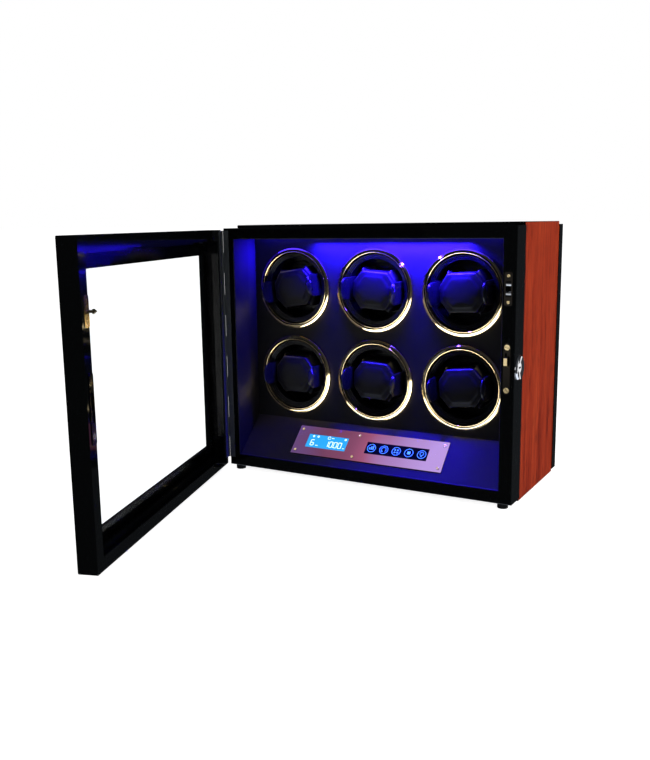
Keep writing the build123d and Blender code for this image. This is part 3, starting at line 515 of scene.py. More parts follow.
@dataclass(frozen=True)
class Rosewood(Finish):
    """Rosewood veneer under clear gloss lacquer: red-brown, with fine dark pores, and edges painted
    near-black as shade in the gap behind the frames.
    """

    pore_width: float = 1.3 * MM
    pore_length: float = 26 * MM
    pore_share: float = 0.62
    pore_stops: Stops = ((0.32, "4A140A"), (0.47, WHITE))
    figure_width: float = 11 * MM
    figure_stops: Stops = ((0.30, "66190A"), (0.44, "962D14"), (0.58, "AA3A1B"), (0.74, "C04C26"))
    # painted shade: near-black for the panel's edges, which sit in the dark gap behind the frames
    gap_shade_colour: str = "0A0505"
    veneer_lean: float = 0.6
    specular: float = 0.2
    coat: float = 0.1

    def pattern(self, tree: Tree, place: Socket) -> dict[str, Any]:
        """Noise stretched along the upright grain: slow figure and short dark pores."""
        scale = [1 / self.pore_width, 1 / self.pore_width, 1 / self.pore_length]
        slow = [s * self.pore_width / self.figure_width for s in scale]
        fine, wide = (
            add_node(tree, "Mapping", {"Vector": place, "Scale": s}).outputs["Vector"] for s in (scale, slow)
        )
        figure = ramp(tree, noise(tree, wide, 1.0, 6.0, Roughness=0.62, Distortion=0.7), self.figure_stops)
        pores = ramp(tree, noise(tree, fine, 1.0, 2.0), self.pore_stops)
        wood = blend(tree, self.pore_share, figure, pores, "MULTIPLY")
        normal = add_node(tree, "NewGeometry").outputs["Normal"]
        lean = calc(tree, "ABSOLUTE", add_node(tree, "SeparateXYZ", {"Vector": normal}).outputs["X"])
        # painted shade: faces that don't face sideways get the near-black gap shade colour
        veneered = calc(tree, "GREATER_THAN", lean, self.veneer_lean)
        tinted = blend(tree, veneered, linear(self.gap_shade_colour), wood)
        coat = {"Coat Weight": self.coat, "Coat Roughness": self.coat}
        return {"Base Color": tinted, "Specular IOR Level": self.specular, **coat}


@dataclass(frozen=True)
class Grained(Finish):
    """A surface with a fine pebbled or spark-eroded grain, such as leatherette or moulded ABS."""

    wander: Pair = (0.85, 1.15)
    patch: float = 1000 / 60 * MM
    grain_size: float = 0.9 * MM
    depth: float = 0.08 * MM
    strength: float = 0.35
    specular: float = 0.5

    def pattern(self, tree: Tree, place: Socket) -> dict[str, Any]:
        """Rounded cells for the grain, with a slow change of gloss over them."""
        grain = {"Vector": place, "Scale": 1 / self.grain_size}
        cells = add_node(tree, "TexVoronoi", grain, feature="SMOOTH_F1").outputs["Distance"]
        lean = bump(tree, cells, self.strength, self.depth)
        gloss = self.uneven(tree, noise(tree, place, self.patch, 3.0))
        return {"Normal": lean, "Roughness": gloss, "Specular IOR Level": self.specular}


@dataclass(frozen=True)
class Metal(Finish):
    """Polished or satin metal, with a slow change of gloss from handling and plating."""

    metallic: float = 1.0
    wander: Pair = (0.7, 1.5)
    patch: float = 14 * MM

    def pattern(self, tree: Tree, place: Socket) -> dict[str, Any]:
        """Patches of slightly duller metal."""
        return {"Roughness": self.uneven(tree, noise(tree, place, self.patch, 4.0))}


@dataclass(frozen=True)
class ClearGlass(Finish):
    """Float glass with an anti-reflection coating, so that it reflects like a lower index."""

    index: float = 1.03

    def pattern(self, tree: Tree, place: Socket) -> dict[str, Any]:
        """Full transmission."""
        return {"Transmission Weight": 1.0, "IOR": self.index}


@dataclass(frozen=True)
class Glow(Finish):
    """A lit surface: lamp diffuser, display or icon."""

    glow: str = WHITE
    strength: float = 1.0

    def pattern(self, tree: Tree, place: Socket) -> dict[str, Any]:
        """Emission on the shader's own sockets."""
        return {"Emission Color": linear(self.glow), "Emission Strength": self.strength}


@dataclass(frozen=True)
class SteelMirrorPaintedReflection(Finish):
    """Polished stainless steel whose colour holds a painted reflection: plum at the left, lilac and brighter
    towards the right, mottled.
    """

    metallic: float = 1.0
    # painted reflection: slow noise mottles the plate's painted reflection
    cloud: float = 1000 / 14 * MM
    cloud_share: float = 0.35
    half_length: float = 110 * MM
    # painted reflection: how far the colour moves from plum at the left towards lilac at the right
    reflection_rise: float = 0.8
    reflection_tints: Stops = ((0.10, "5E4B84"), (0.38, "6F3F5C"), (0.58, "9A5474"), (0.75, "A47CB8"), (0.95, "B796DA"))

    def pattern(self, tree: Tree, place: Socket) -> dict[str, Any]:
        """Painted reflection along the plate's length, brighter towards the right and mottled by slow noise.
        """
        slow = noise(tree, place, self.cloud, 1.0)
        x = add_node(tree, "SeparateXYZ", {"Vector": place}).outputs["X"]
        along = remap(tree, x, (0.0, self.reflection_rise), (-self.half_length, self.half_length))
        # painted reflection: the mottling plus the left-to-right rise picks the plate's colour
        both = calc(tree, "MULTIPLY_ADD", slow, self.cloud_share, along)
        return {"Base Color": ramp(tree, both, self.reflection_tints)}


LACQUER = PianoLacquer("piano_lacquer_black", "050607", 0.06)
OPENING_LACQUER = OpeningLacquer("piano_lacquer_black_opening", "050607", 0.06)
ROSEWOOD = Rosewood("rosewood_veneer_upright", "97331A", 0.28)
PANEL_SKIN = Grained("panel_leatherette_black", "131216", 0.55, grain_size=0.8 * MM, specular=0.3)
LINING_SKIN = Grained("lining_laminate_black", "15131A", 0.45, grain_size=0.8 * MM, strength=0.1)
CONSOLE_SKIN = Grained("console_board_black", "24202A", 0.34, grain_size=0.6 * MM, strength=0.15)
DRUM_ABS = Grained("drum_abs_gloss_black", "0B0B0F", 0.10, grain_size=1.2 * MM, strength=0.03)
HOLDER_ABS = Grained("holder_abs_black", "16161C", 0.20, grain_size=1.0 * MM, strength=0.05)
HIDDEN_ABS = Grained("moulded_abs_satin", "101012", 0.45, grain_size=0.5 * MM, strength=0.2)
CUSHION_SKIN = Grained("cushion_leatherette_black", "151418", 0.38, grain_size=1.0 * MM, specular=0.3)
RUBBER = Grained("moulded_rubber_black", "0B0B0C", 0.7, grain_size=0.7 * MM)
GOLD = Metal("gold_plated_ring", "EBD3A0", 0.09)
CHROME = Metal("chrome_plate", "D9D9DC", 0.07)
STEEL = Metal("zinc_plated_steel", "B9B9BC", 0.28)
BLACK_NICKEL = Grained("black_nickel_plate", "3A3E42", 0.4, grain_size=0.5 * MM, strength=0.05)
BRONZE = Metal("bronzed_brass", "262320", 0.2)
BRASS = Metal("champagne_brass", "E6CF9E", 0.14)
GLASS = ClearGlass("float_glass", "FBFDFD", 0.0)
MIRROR = SteelMirrorPaintedReflection("steel_mirror_painted_reflection", "C07C86", 0.06)
STRIP_GLOSS = Grained("touch_strip_acrylic", "07080F", 0.08, strength=0.0)
LCD_GLOW = Glow("display_backlight", "0A2A3C", 0.15, glow="2FAEEA", strength=1.0)
DIGIT_GLOW = Glow("display_segments", "DDF4FF", 0.3, glow="D9F4FF", strength=1.3)
ICON_GLOW = Glow("touch_icons_cyan", "3F9FE8", 0.3, glow="62AEE6", strength=0.9)
LAMP_GLOW = Glow("lamp_diffuser_blue", "4A40FF", 0.4, glow="2A1AFF", strength=12.0)
BOARD_GREEN = Grained("solder_mask_green", "0F3A22", 0.35, grain_size=0.6 * MM, strength=0.1)


# ---- places read from the frame
def corners(node: str) -> tuple[Vector, Vector]:
    """A node's lowest and highest corners as vectors."""
    low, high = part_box(node)
    return Vector(low), Vector(high)


def station(number: int) -> Vector:
    """A point on the axis of one drum."""
    name = f"rotor_spin_{number}"
    return Vector(next(joint["pos_m"] for joint in frame["joints"] if joint["name"] == name))


def dress_node(name: str, finish: Finish) -> None:
    """Give a CAD node its finish.

    Args:
        name: the node.
        finish: its finish.
    """
    mesh = frame["nodes"][name].data
    mesh.materials.clear()
    mesh.materials.append(finish.material())


def islands(node: str) -> list[np.ndarray]:
    """The vertices of each loose part of a CAD node.

    Vertices at one place count as one. Each takes the lowest number among its neighbours until nothing
    changes.

    Args:
        node: the node.

    Returns:
        An n by 3 array for each part.
    """
    mesh = frame["nodes"][node].data
    points = table(mesh.vertices, "co")
    edges = np.empty(len(mesh.edges) * 2, np.int64)
    mesh.edges.foreach_get("vertices", edges)
    _, same = np.unique(np.round(points / (0.001 * MM)), axis=0, return_inverse=True)
    start, end = same.reshape(-1)[edges.reshape(-1, 2)].T
    label = np.arange(same.max() + 1)
    before = np.zeros_like(label)
    while not np.array_equal(before, label):
        before = label.copy()
        np.minimum.at(label, start, label[end])
        np.minimum.at(label, end, label[start])
    member = label[same.reshape(-1)]
    return [points[member == number] for number in np.unique(member)]


# ---- sub-assemblies
class Dressed:
    """A sub-assembly whose CAD nodes keep their shape and get finishes."""

    finishes: ClassVar[dict[str, Finish]] = {}

    def build(self) -> None:
        """Dress every node of the sub-assembly."""
        for node, finish in self.finishes.items():
            dress_node(node, finish)


class Cabinet(Dressed):
    """The lacquered frames, the rosewood core and what is fixed inside it."""

    finishes: ClassVar[dict[str, Finish]] = {
        "front_frame": OPENING_LACQUER,
        "rear_frame": LACQUER,
        "side_panels": ROSEWOOD,
        "top_panel": LACQUER,
        "bottom_panel": LACQUER,
        "back_cover": HIDDEN_ABS,
        "side_linings": LINING_SKIN,
        "winder_panel": PANEL_SKIN,
        "console_board": CONSOLE_SKIN,
        "feet": RUBBER,
        "drive_plate": HIDDEN_ABS,
        "drive_motors": STEEL,
        "drive_belts": RUBBER,
        "control_board": BOARD_GREEN,
        "dc_inlet": HIDDEN_ABS,
        "led_strip": LAMP_GLOW,
        "hinge_frame_leaves": BLACK_NICKEL,
        **{f"motor_pulley_{number}": HIDDEN_ABS for number in STATIONS},
    }


class Door(Dressed):
    """Lacquered door frame with its glass, catch spear and strike plate."""

    finishes: ClassVar[dict[str, Finish]] = {
        "door_frame": LACQUER,
        "door_glass": GLASS,
        "glass_bead": LACQUER,
        "catch_spear": BRASS,
        "lock_strike": BRONZE,
        "hinge_door_leaves": BLACK_NICKEL,
    }


class Locks(Dressed):
    """Roller catch, lock case, bolt, plug and cylinder."""

    finishes: ClassVar[dict[str, Finish]] = {
        "roller_catch": BRONZE,
        "catch_roller_lower": CHROME,
        "catch_roller_upper": CHROME,
        "door_lock": BRONZE,
        "lock_bolt": BRASS,
        "lock_plug": CHROME,
        "lock_cylinder": CHROME,
    }


@dataclass
class BezelRings:
    """Six gold-plated rings round the drums: a band that falls away outwards, a groove with its faces
    painted black as shade, and a lip.
    """

    outer: float = 53.5 * MM
    inner: float = 46.3 * MM
    foot: float = 1.0 * MM
    band_inner: float = 50.6 * MM
    groove_floor: float = 1.5 * MM
    lip_outer: float = 49.0 * MM
    lip_inner: float = 47.7 * MM
    lip_proud: float = 4.8 * MM
    lip_round: float = 1.2 * MM
    proud: float = 5.0 * MM
    shoulder: float = 0.7 * MM
    slopes: Pair = (12.0, 36.0)
    segments: int = 144

    def profile(self, face: float) -> list[tuple[float, float]]:
        """Outside to inside: a round shoulder, a face whose slope eases inwards, a groove and a lip.

        The face falls by the running sum of tan(slope) times the step in radius.

        Args:
            face: y of the panel's front.

        Returns:
            Radius and y of each point.
        """
        share = np.linspace(0, 1, 12)
        slope = np.radians(self.slopes[0] + (self.slopes[1] - self.slopes[0]) * share)
        run = self.outer - self.shoulder - self.band_inner
        steps = np.tan((slope[1:] + slope[:-1]) / 2) * run / (len(share) - 1)
        fall = np.concatenate([[0.0], np.cumsum(steps)])
        edge_y = face - self.proud + fall[-1] + self.shoulder
        points = [(self.outer, face)]
        for angle in np.linspace(0, 0.75, 6) * np.pi / 2:
            reach = self.outer - self.shoulder * (1 - math.cos(angle))
            points.append((reach, edge_y - self.shoulder * math.sin(angle)))
        for part, drop in zip(share[::-1], fall[::-1]):
            points.append((self.band_inner + run * part, face - self.proud + drop))
        points.append((self.band_inner, face - self.groove_floor))
        points.append((self.lip_outer, face - self.groove_floor))
        middle, half = (self.lip_inner + self.lip_outer) / 2, (self.lip_outer - self.lip_inner) / 2
        for t in np.linspace(0, np.pi, 11):
            lip_y = face - self.lip_proud + self.lip_round * (1 - math.sin(t))
            points.append((middle + half * math.cos(t), lip_y))
        return points + [(self.inner, face - self.foot), (self.inner, face)]

    def build(self) -> None:
        """Make the six rings as one piece, with the faces of the groove painted black as shade."""
        section = self.profile(corners("winder_panel")[0].y)
        parts = [revolved(section, station(n), self.segments) for n in STATIONS]
        rings = make_object("bezel_rings_plated", *joined(parts), GOLD.material())
        middles = table(rings.data.polygons, "center")[:, ::2]
        axes = [(station(n).x, station(n).z) for n in STATIONS]
        radius = np.min([np.linalg.norm(middles - axis, axis=1) for axis in axes], axis=0)
        slack = 0.01 * MM
        # painted shade: the faces of the groove take the black drum finish in place of gold
        groove = (radius < self.band_inner + slack) & (radius > self.lip_outer - slack)
        refinish(rings.data, groove, DRUM_ABS)
        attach(rings, "cabinet")
        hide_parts("bezel_rings")
        LOG.info("bezel rings built")


@dataclass
class Drum:
    """A glossy moulded drum: stepped lip, tapering well, belt pulley and axle."""

    number: int
    lip_outer: float = 45.7 * MM
    mouth: float = 40.0 * MM
    steps: int = 3
    step_fall: float = 1.5 * MM
    step_round: float = 0.5 * MM
    well_depth: float = 40 * MM
    well_radius: float = 39.4 * MM
    rim_radius: float = 46.5 * MM
    rim_span: Pair = (3 * MM, 6 * MM)
    shell_front: Pair = (42.5 * MM, 6.2 * MM)
    shell_back: Pair = (41.9 * MM, 43 * MM)
    pulley_radius: float = 19.4 * MM
    axle_length: float = 20 * MM
    axle_radius: float = 5.0 * MM
    bore: float = 0.4 * MM
    segments: int = 112

    def build(self) -> None:
        """Turn the drum's section about its axis."""
        low, high = corners(f"rotor_drum_{self.number}")
        face = low.y
        well_floor = face + self.well_depth
        section = [
            (self.bore, well_floor),
            (self.well_radius, well_floor),
            (self.mouth, face + self.steps * self.step_fall),
        ]
        width, bead = (self.lip_outer - self.mouth) / self.steps, self.step_round
        for step in range(self.steps):
            depth = face + (self.steps - step) * self.step_fall
            inner = self.mouth + step * width
            for t in np.linspace(0, np.pi, 7):
                rise = self.step_fall * math.sin(t / 2)
                section.append((inner + bead * (1 - math.cos(t)), depth - rise))
            section.append((inner + width - bead / 10, depth - self.step_fall))
        section += [(self.rim_radius, face + depth) for depth in self.rim_span]
        section += [(radius, face + depth) for radius, depth in (self.shell_front, self.shell_back)]
        axle_y = high.y - self.axle_length
        section += [
            (self.pulley_radius, face + self.shell_back[1]),
            (self.pulley_radius, axle_y),
            (self.axle_radius, axle_y + 1 * MM),
            (self.axle_radius, high.y),
            (self.bore, high.y),
        ]
        form = revolved(section, station(self.number), self.segments)
        piece = make_object(f"winding_drum_{self.number}", *form, DRUM_ABS.material())
        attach(piece, f"rotor_{self.number}")
        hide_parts(f"rotor_drum_{self.number}")


@dataclass
class WatchHolder:
    """Two D-shaped spring grips with finger ribs on a round base, moulded in one with the drum's colour."""

    number: int
    grip_thickness: float = 2.4 * MM
    grip_half_height: float = 14.5 * MM
    grip_offset: float = 35.0 * MM
    grip_edge: float = 0.7 * MM
    rib_count: int = 5
    rib_start: float = 1.6 * MM
    rib_pitch: float = 2.1 * MM
    rib_width: float = 0.9 * MM
    rib_rise: float = 0.35 * MM
    base_half: Pair = (35 * MM, 34 * MM)
    base_corner: float = 30 * MM
    base_thickness: float = 3.0 * MM
    base_edge: float = 0.4 * MM

    def turned(self) -> Matrix:
        """Matrix from the upright holder at the world's axis to its place on the turned drum.

        Returns:
            The matrix.
        """
        axis = station(self.number)
        tilt = math.radians(HOLDER_TILTS[self.number - 1])
        return Matrix.Translation((axis.x, 0, axis.z)) @ Matrix.Rotation(-tilt, 4, "Y")

    def build(self) -> None:
        """Build the base, the grips and the ribs as one piece."""
        low, high = corners(f"cushion_holder_{self.number}")
        half, back, turned = self.grip_half_height, high.y, self.turned()
        round_y = low.y + half
        arc = np.linspace(np.pi / 2, 3 * np.pi / 2, 30)
        curve = np.column_stack([round_y + half * np.cos(arc), half * np.sin(arc)])
        outline = np.vstack([curve, [[back, -half], [back, half]]])
        parts = []
        for hand in (-1, 1):
            inner_face = hand * (self.grip_offset - self.grip_thickness / 2)
            upright = Matrix(((0, 0, hand, inner_face), (hand, 0, 0, 0), (0, 1, 0, 0), (0, 0, 0, 1)))
            face = (outline * [hand, 1])[::hand]
            parts.append(plate(face, self.grip_thickness, self.grip_edge, turned @ upright))
            for rib in range(self.rib_count):
                radius = half - self.rib_start - rib * self.rib_pitch
                parts.append(self.rib(radius, hand, round_y, turned))
        wide, tall = self.base_half
        base = rounded_loop([(x * wide, z * tall, self.base_corner) for x, z in SQUARE], 12)
        flat = Matrix.Translation((0, back, 0)) @ FACING_FRONT
        parts.append(plate(base, self.base_thickness, self.base_edge, turned @ flat))
        piece = make_object(f"spring_holder_{self.number}", *joined(parts), HOLDER_ABS.material())
        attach(piece, f"holder_{self.number}")
        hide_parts(f"cushion_holder_{self.number}")

    def rib(self, radius: float, hand: int, round_y: float, turned: Matrix) -> Form:
        """Half-round rib on the outer face, following the grip's round edge.

        Its centre line is (round_y - radius cos a, radius sin a) for a from -80 to 80 degrees, and its
        section is an ellipse.

        Args:
            radius: its distance from the centre of the round edge.
            hand: -1 for the left grip, 1 for the right.
            round_y: y of that centre.
            turned: the holder's place.

        Returns:
            The points and the faces.
        """
        along = np.radians(np.linspace(-80, 80, 28))[:, None]
        around = np.linspace(0, 2 * np.pi, 8, endpoint=False)[None, :]
        reach = radius + self.rib_width / 2 * np.cos(around)
        x = hand * (self.grip_offset + self.grip_thickness / 2 + self.rib_rise * np.sin(around))
        y, z = round_y - reach * np.cos(along), reach * np.sin(along)
        points = np.stack([np.broadcast_to(x, y.shape), y, z], -1).reshape(-1, 3)
        return moved(points, turned), grid_faces(along.size, around.size, False, True)


@dataclass
class WatchCushion:
    """Foam cushion in leatherette: an octagonal body with strap channels and a bevelled octagonal front."""

    width: float = 58.0 * MM
    height: float = 60.6 * MM
    corner_x: float = 11.0 * MM
    corner_z: float = 17.0 * MM
    channel_width: float = 36.0 * MM
    channel_depth: float = 6.2 * MM
    channel_radius: float = 1.2 * MM
    side_radius: float = 3.0 * MM
    pad_inset: float = 5.5 * MM
    pad_radius: float = 6.5 * MM
    pad_rise: float = 2.6 * MM
    pad_edge: float = 2.4 * MM
    pad_crown: float = 0.5 * MM
    body_edge: float = 1.2 * MM
    front_edge: float = 1.6 * MM
    front_lap: float = 7.0 * MM
    lap: float = 6.0 * MM
    clearance: Pair = (1.2 * MM, 0.6 * MM)
    voxel: float = 1.5 * MM
    swell: float = 0.8 * MM
    pressure: float = 4.0
    frames: int = 12

    @staticmethod
    def even(upper_right: Sequence[tuple[float, float, float]]) -> np.ndarray:
        """Outline from its upper right corners, each x, z and radius, the same on all four sides.

        Args:
            upper_right: the corners from the side to the top.

        Returns:
            An n by 2 array.
        """
        right = [(x, -z, r) for x, z, r in upper_right[::-1]] + [*upper_right]
        return rounded_loop(right + [(-x, z, r) for x, z, r in right[::-1]], 5)

    def octagon(self, in_by: float, radius: float) -> np.ndarray:
        """The cushion's octagon, moved in, with corners of one radius.

        Args:
            in_by: how far it is moved in.
            radius: the corners' radius.

        Returns:
            An n by 2 array.
        """
        w, h = self.width / 2 - in_by, self.height / 2 - self.channel_depth - in_by
        cx, cz = self.corner_x, self.corner_z - self.channel_depth / 2
        return self.even([(w, h - cz, radius), (w - cx, h, radius)])

    def shell(self, front: float, back: float) -> bpy.types.Object:
        """The upright cushion at the world's axis, before it swells.

        Args:
            front: y of its front.
            back: y of its back.

        Returns:
            The object.
        """
        h, sx = self.height / 2, self.channel_width / 2
        notch, side = self.channel_radius, self.side_radius
        ends = [(sx, h, notch), (sx, h - self.channel_depth, notch)]
        loop = self.even([(self.width / 2, h - self.corner_z, side), *ends])
        shoulder = front + self.pad_rise + self.lap
        rear, ahead = (Matrix.Translation((0, y, 0)) @ FACING_FRONT for y in (back, shoulder))
        body, pad = self.octagon(0.0, side), self.octagon(self.pad_inset, self.pad_radius)
        parts = [
            plate(loop, back - shoulder, self.body_edge, rear),
            plate(body, self.front_lap, self.front_edge, ahead),
            plate(pad, self.lap + self.pad_rise, self.pad_edge, ahead, crown=self.pad_crown),
        ]
        return make_object("cushion_form", *joined(parts), CUSHION_SKIN.material())

    def blown(self, form: bpy.types.Object) -> None:
        """Run a short cloth simulation with pressure, and keep at most the swell of its motion.

        Args:
            form: the remeshed cushion.
        """
        before = table(form.data.vertices, "co")
        cloth = form.modifiers.new("swell", "CLOTH")
        cloth.settings.use_pressure = True
        cloth.settings.uniform_pressure_force = self.pressure
        cloth.settings.effector_weights.gravity = 0
        cloth.settings.quality = 4
        cloth.point_cache.frame_start = 1
        cloth.point_cache.frame_end = self.frames
        scene = bpy.context.scene
        for number in range(1, self.frames + 1):
            scene.frame_set(number)
        bake(form)
        scene.frame_set(1)
        move = table(form.data.vertices, "co") - before
        length = np.linalg.norm(move, axis=1)[:, None]
        share = np.minimum(1, self.swell / np.maximum(length, 1e-9))
        form.data.vertices.foreach_set("co", (before + move * share).ravel())

    def swollen(self, form: bpy.types.Object) -> None:
        """Remesh the form and blow it up a little under its own skin.

        Args:
            form: the cushion's plain form.
        """
        remesh = form.modifiers.new("skin", "REMESH")
        remesh.mode = "VOXEL"
        remesh.voxel_size = self.voxel
        remesh.use_smooth_shade = True
        bake(form)
        self.blown(form)
        smooth = form.modifiers.new("ease", "SMOOTH")
        smooth.factor = 0.5
        smooth.iterations = 3
        fine = form.modifiers.new("fine", "SUBSURF")
        fine.levels = fine.render_levels = 1
        bake(form)

    def build(self) -> None:
        """Make one cushion and set a copy of its mesh in each holder."""
        low, high = corners("watch_cushion_4")
        form = self.shell(low.y + self.clearance[0], high.y - self.clearance[1])
        self.swollen(form)
        for number in STATIONS:
            mesh = form.data.copy()
            mesh.transform(WatchHolder(number).turned())
            mesh.shade_smooth()
            piece = bpy.data.objects.new(f"watch_cushion_padded_{number}", mesh)
            bpy.context.scene.collection.objects.link(piece)
            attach(piece, f"holder_{number}")
            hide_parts(f"watch_cushion_{number}")
        bpy.data.objects.remove(form)
        LOG.info("six cushions built")


class Segment(Enum):
    """The bars of a seven-segment digit, with centre x, centre y and whether the bar is upright."""

    TOP = (0.0, 1.0, False)
    MIDDLE = (0.0, 0.0, False)
    BOTTOM = (0.0, -1.0, False)
    UPPER_LEFT = (-0.5, 0.5, True)
    UPPER_RIGHT = (0.5, 0.5, True)
    LOWER_LEFT = (-0.5, -0.5, True)
    LOWER_RIGHT = (0.5, -0.5, True)


UNLIT: dict[str, set[Segment]] = {
    "0": {Segment.MIDDLE},
    "1": set(Segment) - {Segment.UPPER_RIGHT, Segment.LOWER_RIGHT},
    "6": {Segment.UPPER_RIGHT},
}


@dataclass
class ConsoleControls:
    """Mirror plate, display and touch strip on the slanted console, with their lit marks.

    The display's bars hold x, y, width and height, and its rings x, y, radius, line, start and end in
    degrees, in millimetres from the middle of the display.
    """

    mark_thickness: float = 0.12 * MM
    icon_pitch: float = 17.6 * MM
    icon_radius: float = 5.7 * MM
    icon_line: float = 0.6 * MM
    digit_height: float = 8.4 * MM
    digit_width: float = 4.6 * MM
    digit_pitch: float = 6.6 * MM
    digit_y: float = -2.6 * MM
    stroke: float = 0.95 * MM
    bars: ClassVar[tuple] = ((-13.5, -6.4, 3.6, 0.8), (26.8, -6.4, 2.6, 0.8), (7.0, 7.0, 4.0, 0.7))
    rings: ClassVar[tuple] = (
        *((x, 7.2, 1.1, 0.8, 0, 360) for x in (-22.5, -15.5, 26.0)),
        (1.5, 7.0, 2.0, 0.6, 20, 340),
    )

    def plane(self, node: str) -> Matrix:
        """Matrix from a flat mark to the middle of a node's upper face, x to the right and y up the slope.

        Args:
            node: the node that carries the mark.

        Returns:
            The matrix.
        """
        low, high = corners(node)
        slope_low, slope_high = corners("console_board")
        rise = math.atan2(slope_high.z - slope_low.z, slope_high.y - slope_low.y)
        middle = (low + high) / 2
        right = Vector((1, 0, 0))
        up = Vector((0, math.cos(rise), math.sin(rise)))
        normal = right.cross(up)
        points = table(frame["nodes"][node].data.vertices, "co")
        centre = middle + normal * (float((points @ np.array(normal)).max()) - middle.dot(normal))
        return framed(right, up, normal, centre)

    def bar(self, x: float, y: float, width: float, height: float, place: Matrix) -> Form:
        """Flat rectangle with rounded corners, in metres.

        Args:
            x: its middle.
            y: its middle.
            width: its size along x.
            height: its size along y.
            place: the matrix of its surface.

        Returns:
            The points and the faces.
        """
        w, h = width / 2, height / 2
        loop = rounded_loop([(x + a * w, y + b * h, 0.3 * min(w, h)) for a, b in SQUARE], 4)
        return plate(loop, self.mark_thickness, 0.02 * MM, place, 1)

    def arc(
        self, x: float, y: float, radius: float, line: float, start: float, end: float, place: Matrix
    ) -> Form:
        """Flat band round (x, y) from one angle to another, in degrees; a full turn is closed.

        Args:
            x: its centre.
            y: its centre.
            radius: its middle line.
            line: its width.
            start: first angle.
            end: last angle.
            place: the matrix of its surface.

        Returns:
            The points and the faces.
        """
        whole = end - start >= 360
        turn = np.radians(np.linspace(start, end, 48, endpoint=not whole))[:, None]
        r = radius + line / 2 * np.array([[-1, 1, 1, -1]])
        z = self.mark_thickness * np.array([[0, 0, 1, 1]])
        px, py = x + r * np.cos(turn), y + r * np.sin(turn)
        points = np.stack([px, py, np.broadcast_to(z, px.shape)], -1).reshape(-1, 3)
        faces = grid_faces(len(turn), 4, whole, True).tolist()
        if not whole:
            last = 4 * (len(turn) - 1)
            faces += [[0, 1, 2, 3], [last, last + 3, last + 2, last + 1]]
        return moved(points, place), faces

    def digit(self, sign: str, x: float, place: Matrix) -> list[Form]:
        """One seven-segment digit centred on x.

        Args:
            sign: the digit.
            x: its centre.
            place: the matrix of the display.

        Returns:
            A bar for each lit segment.
        """
        out = []
        half = self.digit_height / 2
        for segment in Segment:
            if segment in UNLIT[sign]:
                continue
            sx, sy, upright = segment.value
            cx, cy = x + sx * self.digit_width, self.digit_y + sy * half
            long_ = half - self.stroke * 0.35 if upright else self.digit_width - self.stroke * 0.9
            size = (self.stroke, long_) if upright else (long_, self.stroke)
            out.append(self.bar(cx, cy, *size, place))
        return out

    def glyph(self, index: int, x: float, place: Matrix) -> list[Form]:
        """The sign inside one icon's ring: bars, turn arrow, dots, square or lamp.

        Args:
            index: the icon's number from the left, from 0.
            x: its centre.
            place: the matrix of the strip.

        Returns:
            The sign's parts.
        """
        line = self.icon_line
        if index == 0:
            heights = ((-2.4, -0.6, 3.0), (0, 0.2, 4.6), (2.4, 0.8, 6.0))
            return [self.bar(x + dx * MM, dy * MM, 1.5 * MM, h * MM, place) for dx, dy, h in heights]
        if index == 1:
            tip = self.bar(x - 2.1 * MM, -2.6 * MM, 2.4 * MM, 1.1 * MM, place)
            return [self.arc(x, 0.2 * MM, 3.2 * MM, line, -50, 230, place), tip]
        if index == 2:
            reach, dot = 1.8 * MM, 0.55 * MM
            return [self.arc(x + a * reach, b * reach, dot, 2 * dot, 0, 360, place) for a, b in SQUARE]
        if index == 3:
            return [self.bar(x, 0, 4.2 * MM, 4.2 * MM, place)]
        bulb = self.arc(x, 0.9 * MM, 2.4 * MM, line, 0, 360, place)
        return [bulb, self.bar(x, -3.0 * MM, 2.2 * MM, 0.9 * MM, place)]

    def build(self) -> None:
        """Dress the nodes and add the digits and icons."""
        dress_node("control_plate", MIRROR)
        dress_node("lcd_module", LCD_GLOW)
        dress_node("touch_strip", STRIP_GLOSS)
        display = self.plane("lcd_module")
        parts = self.digit("6", -21.5 * MM, display)
        for place, sign in enumerate("1000"):
            parts += self.digit(sign, 0.5 * MM + place * self.digit_pitch, display)
        parts += [self.bar(*(length * MM for length in bar), display) for bar in self.bars]
        for *lengths, start, end in self.rings:
            parts.append(self.arc(*(length * MM for length in lengths), start, end, display))
        digits = make_object("display_segments", *joined(parts), DIGIT_GLOW.material(), smooth=False)
        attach(digits, "cabinet")
        strip = self.plane("touch_strip")
        icons: list[Form] = []
        for index in range(5):
            x = (index - 2) * self.icon_pitch
            icons.append(self.arc(x, 0, self.icon_radius, self.icon_line, 0, 360, strip))
            icons += self.glyph(index, x, strip)
        marks = make_object("touch_icons", *joined(icons), ICON_GLOW.material(), smooth=False)
        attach(marks, "cabinet")
        LOG.info("console built")


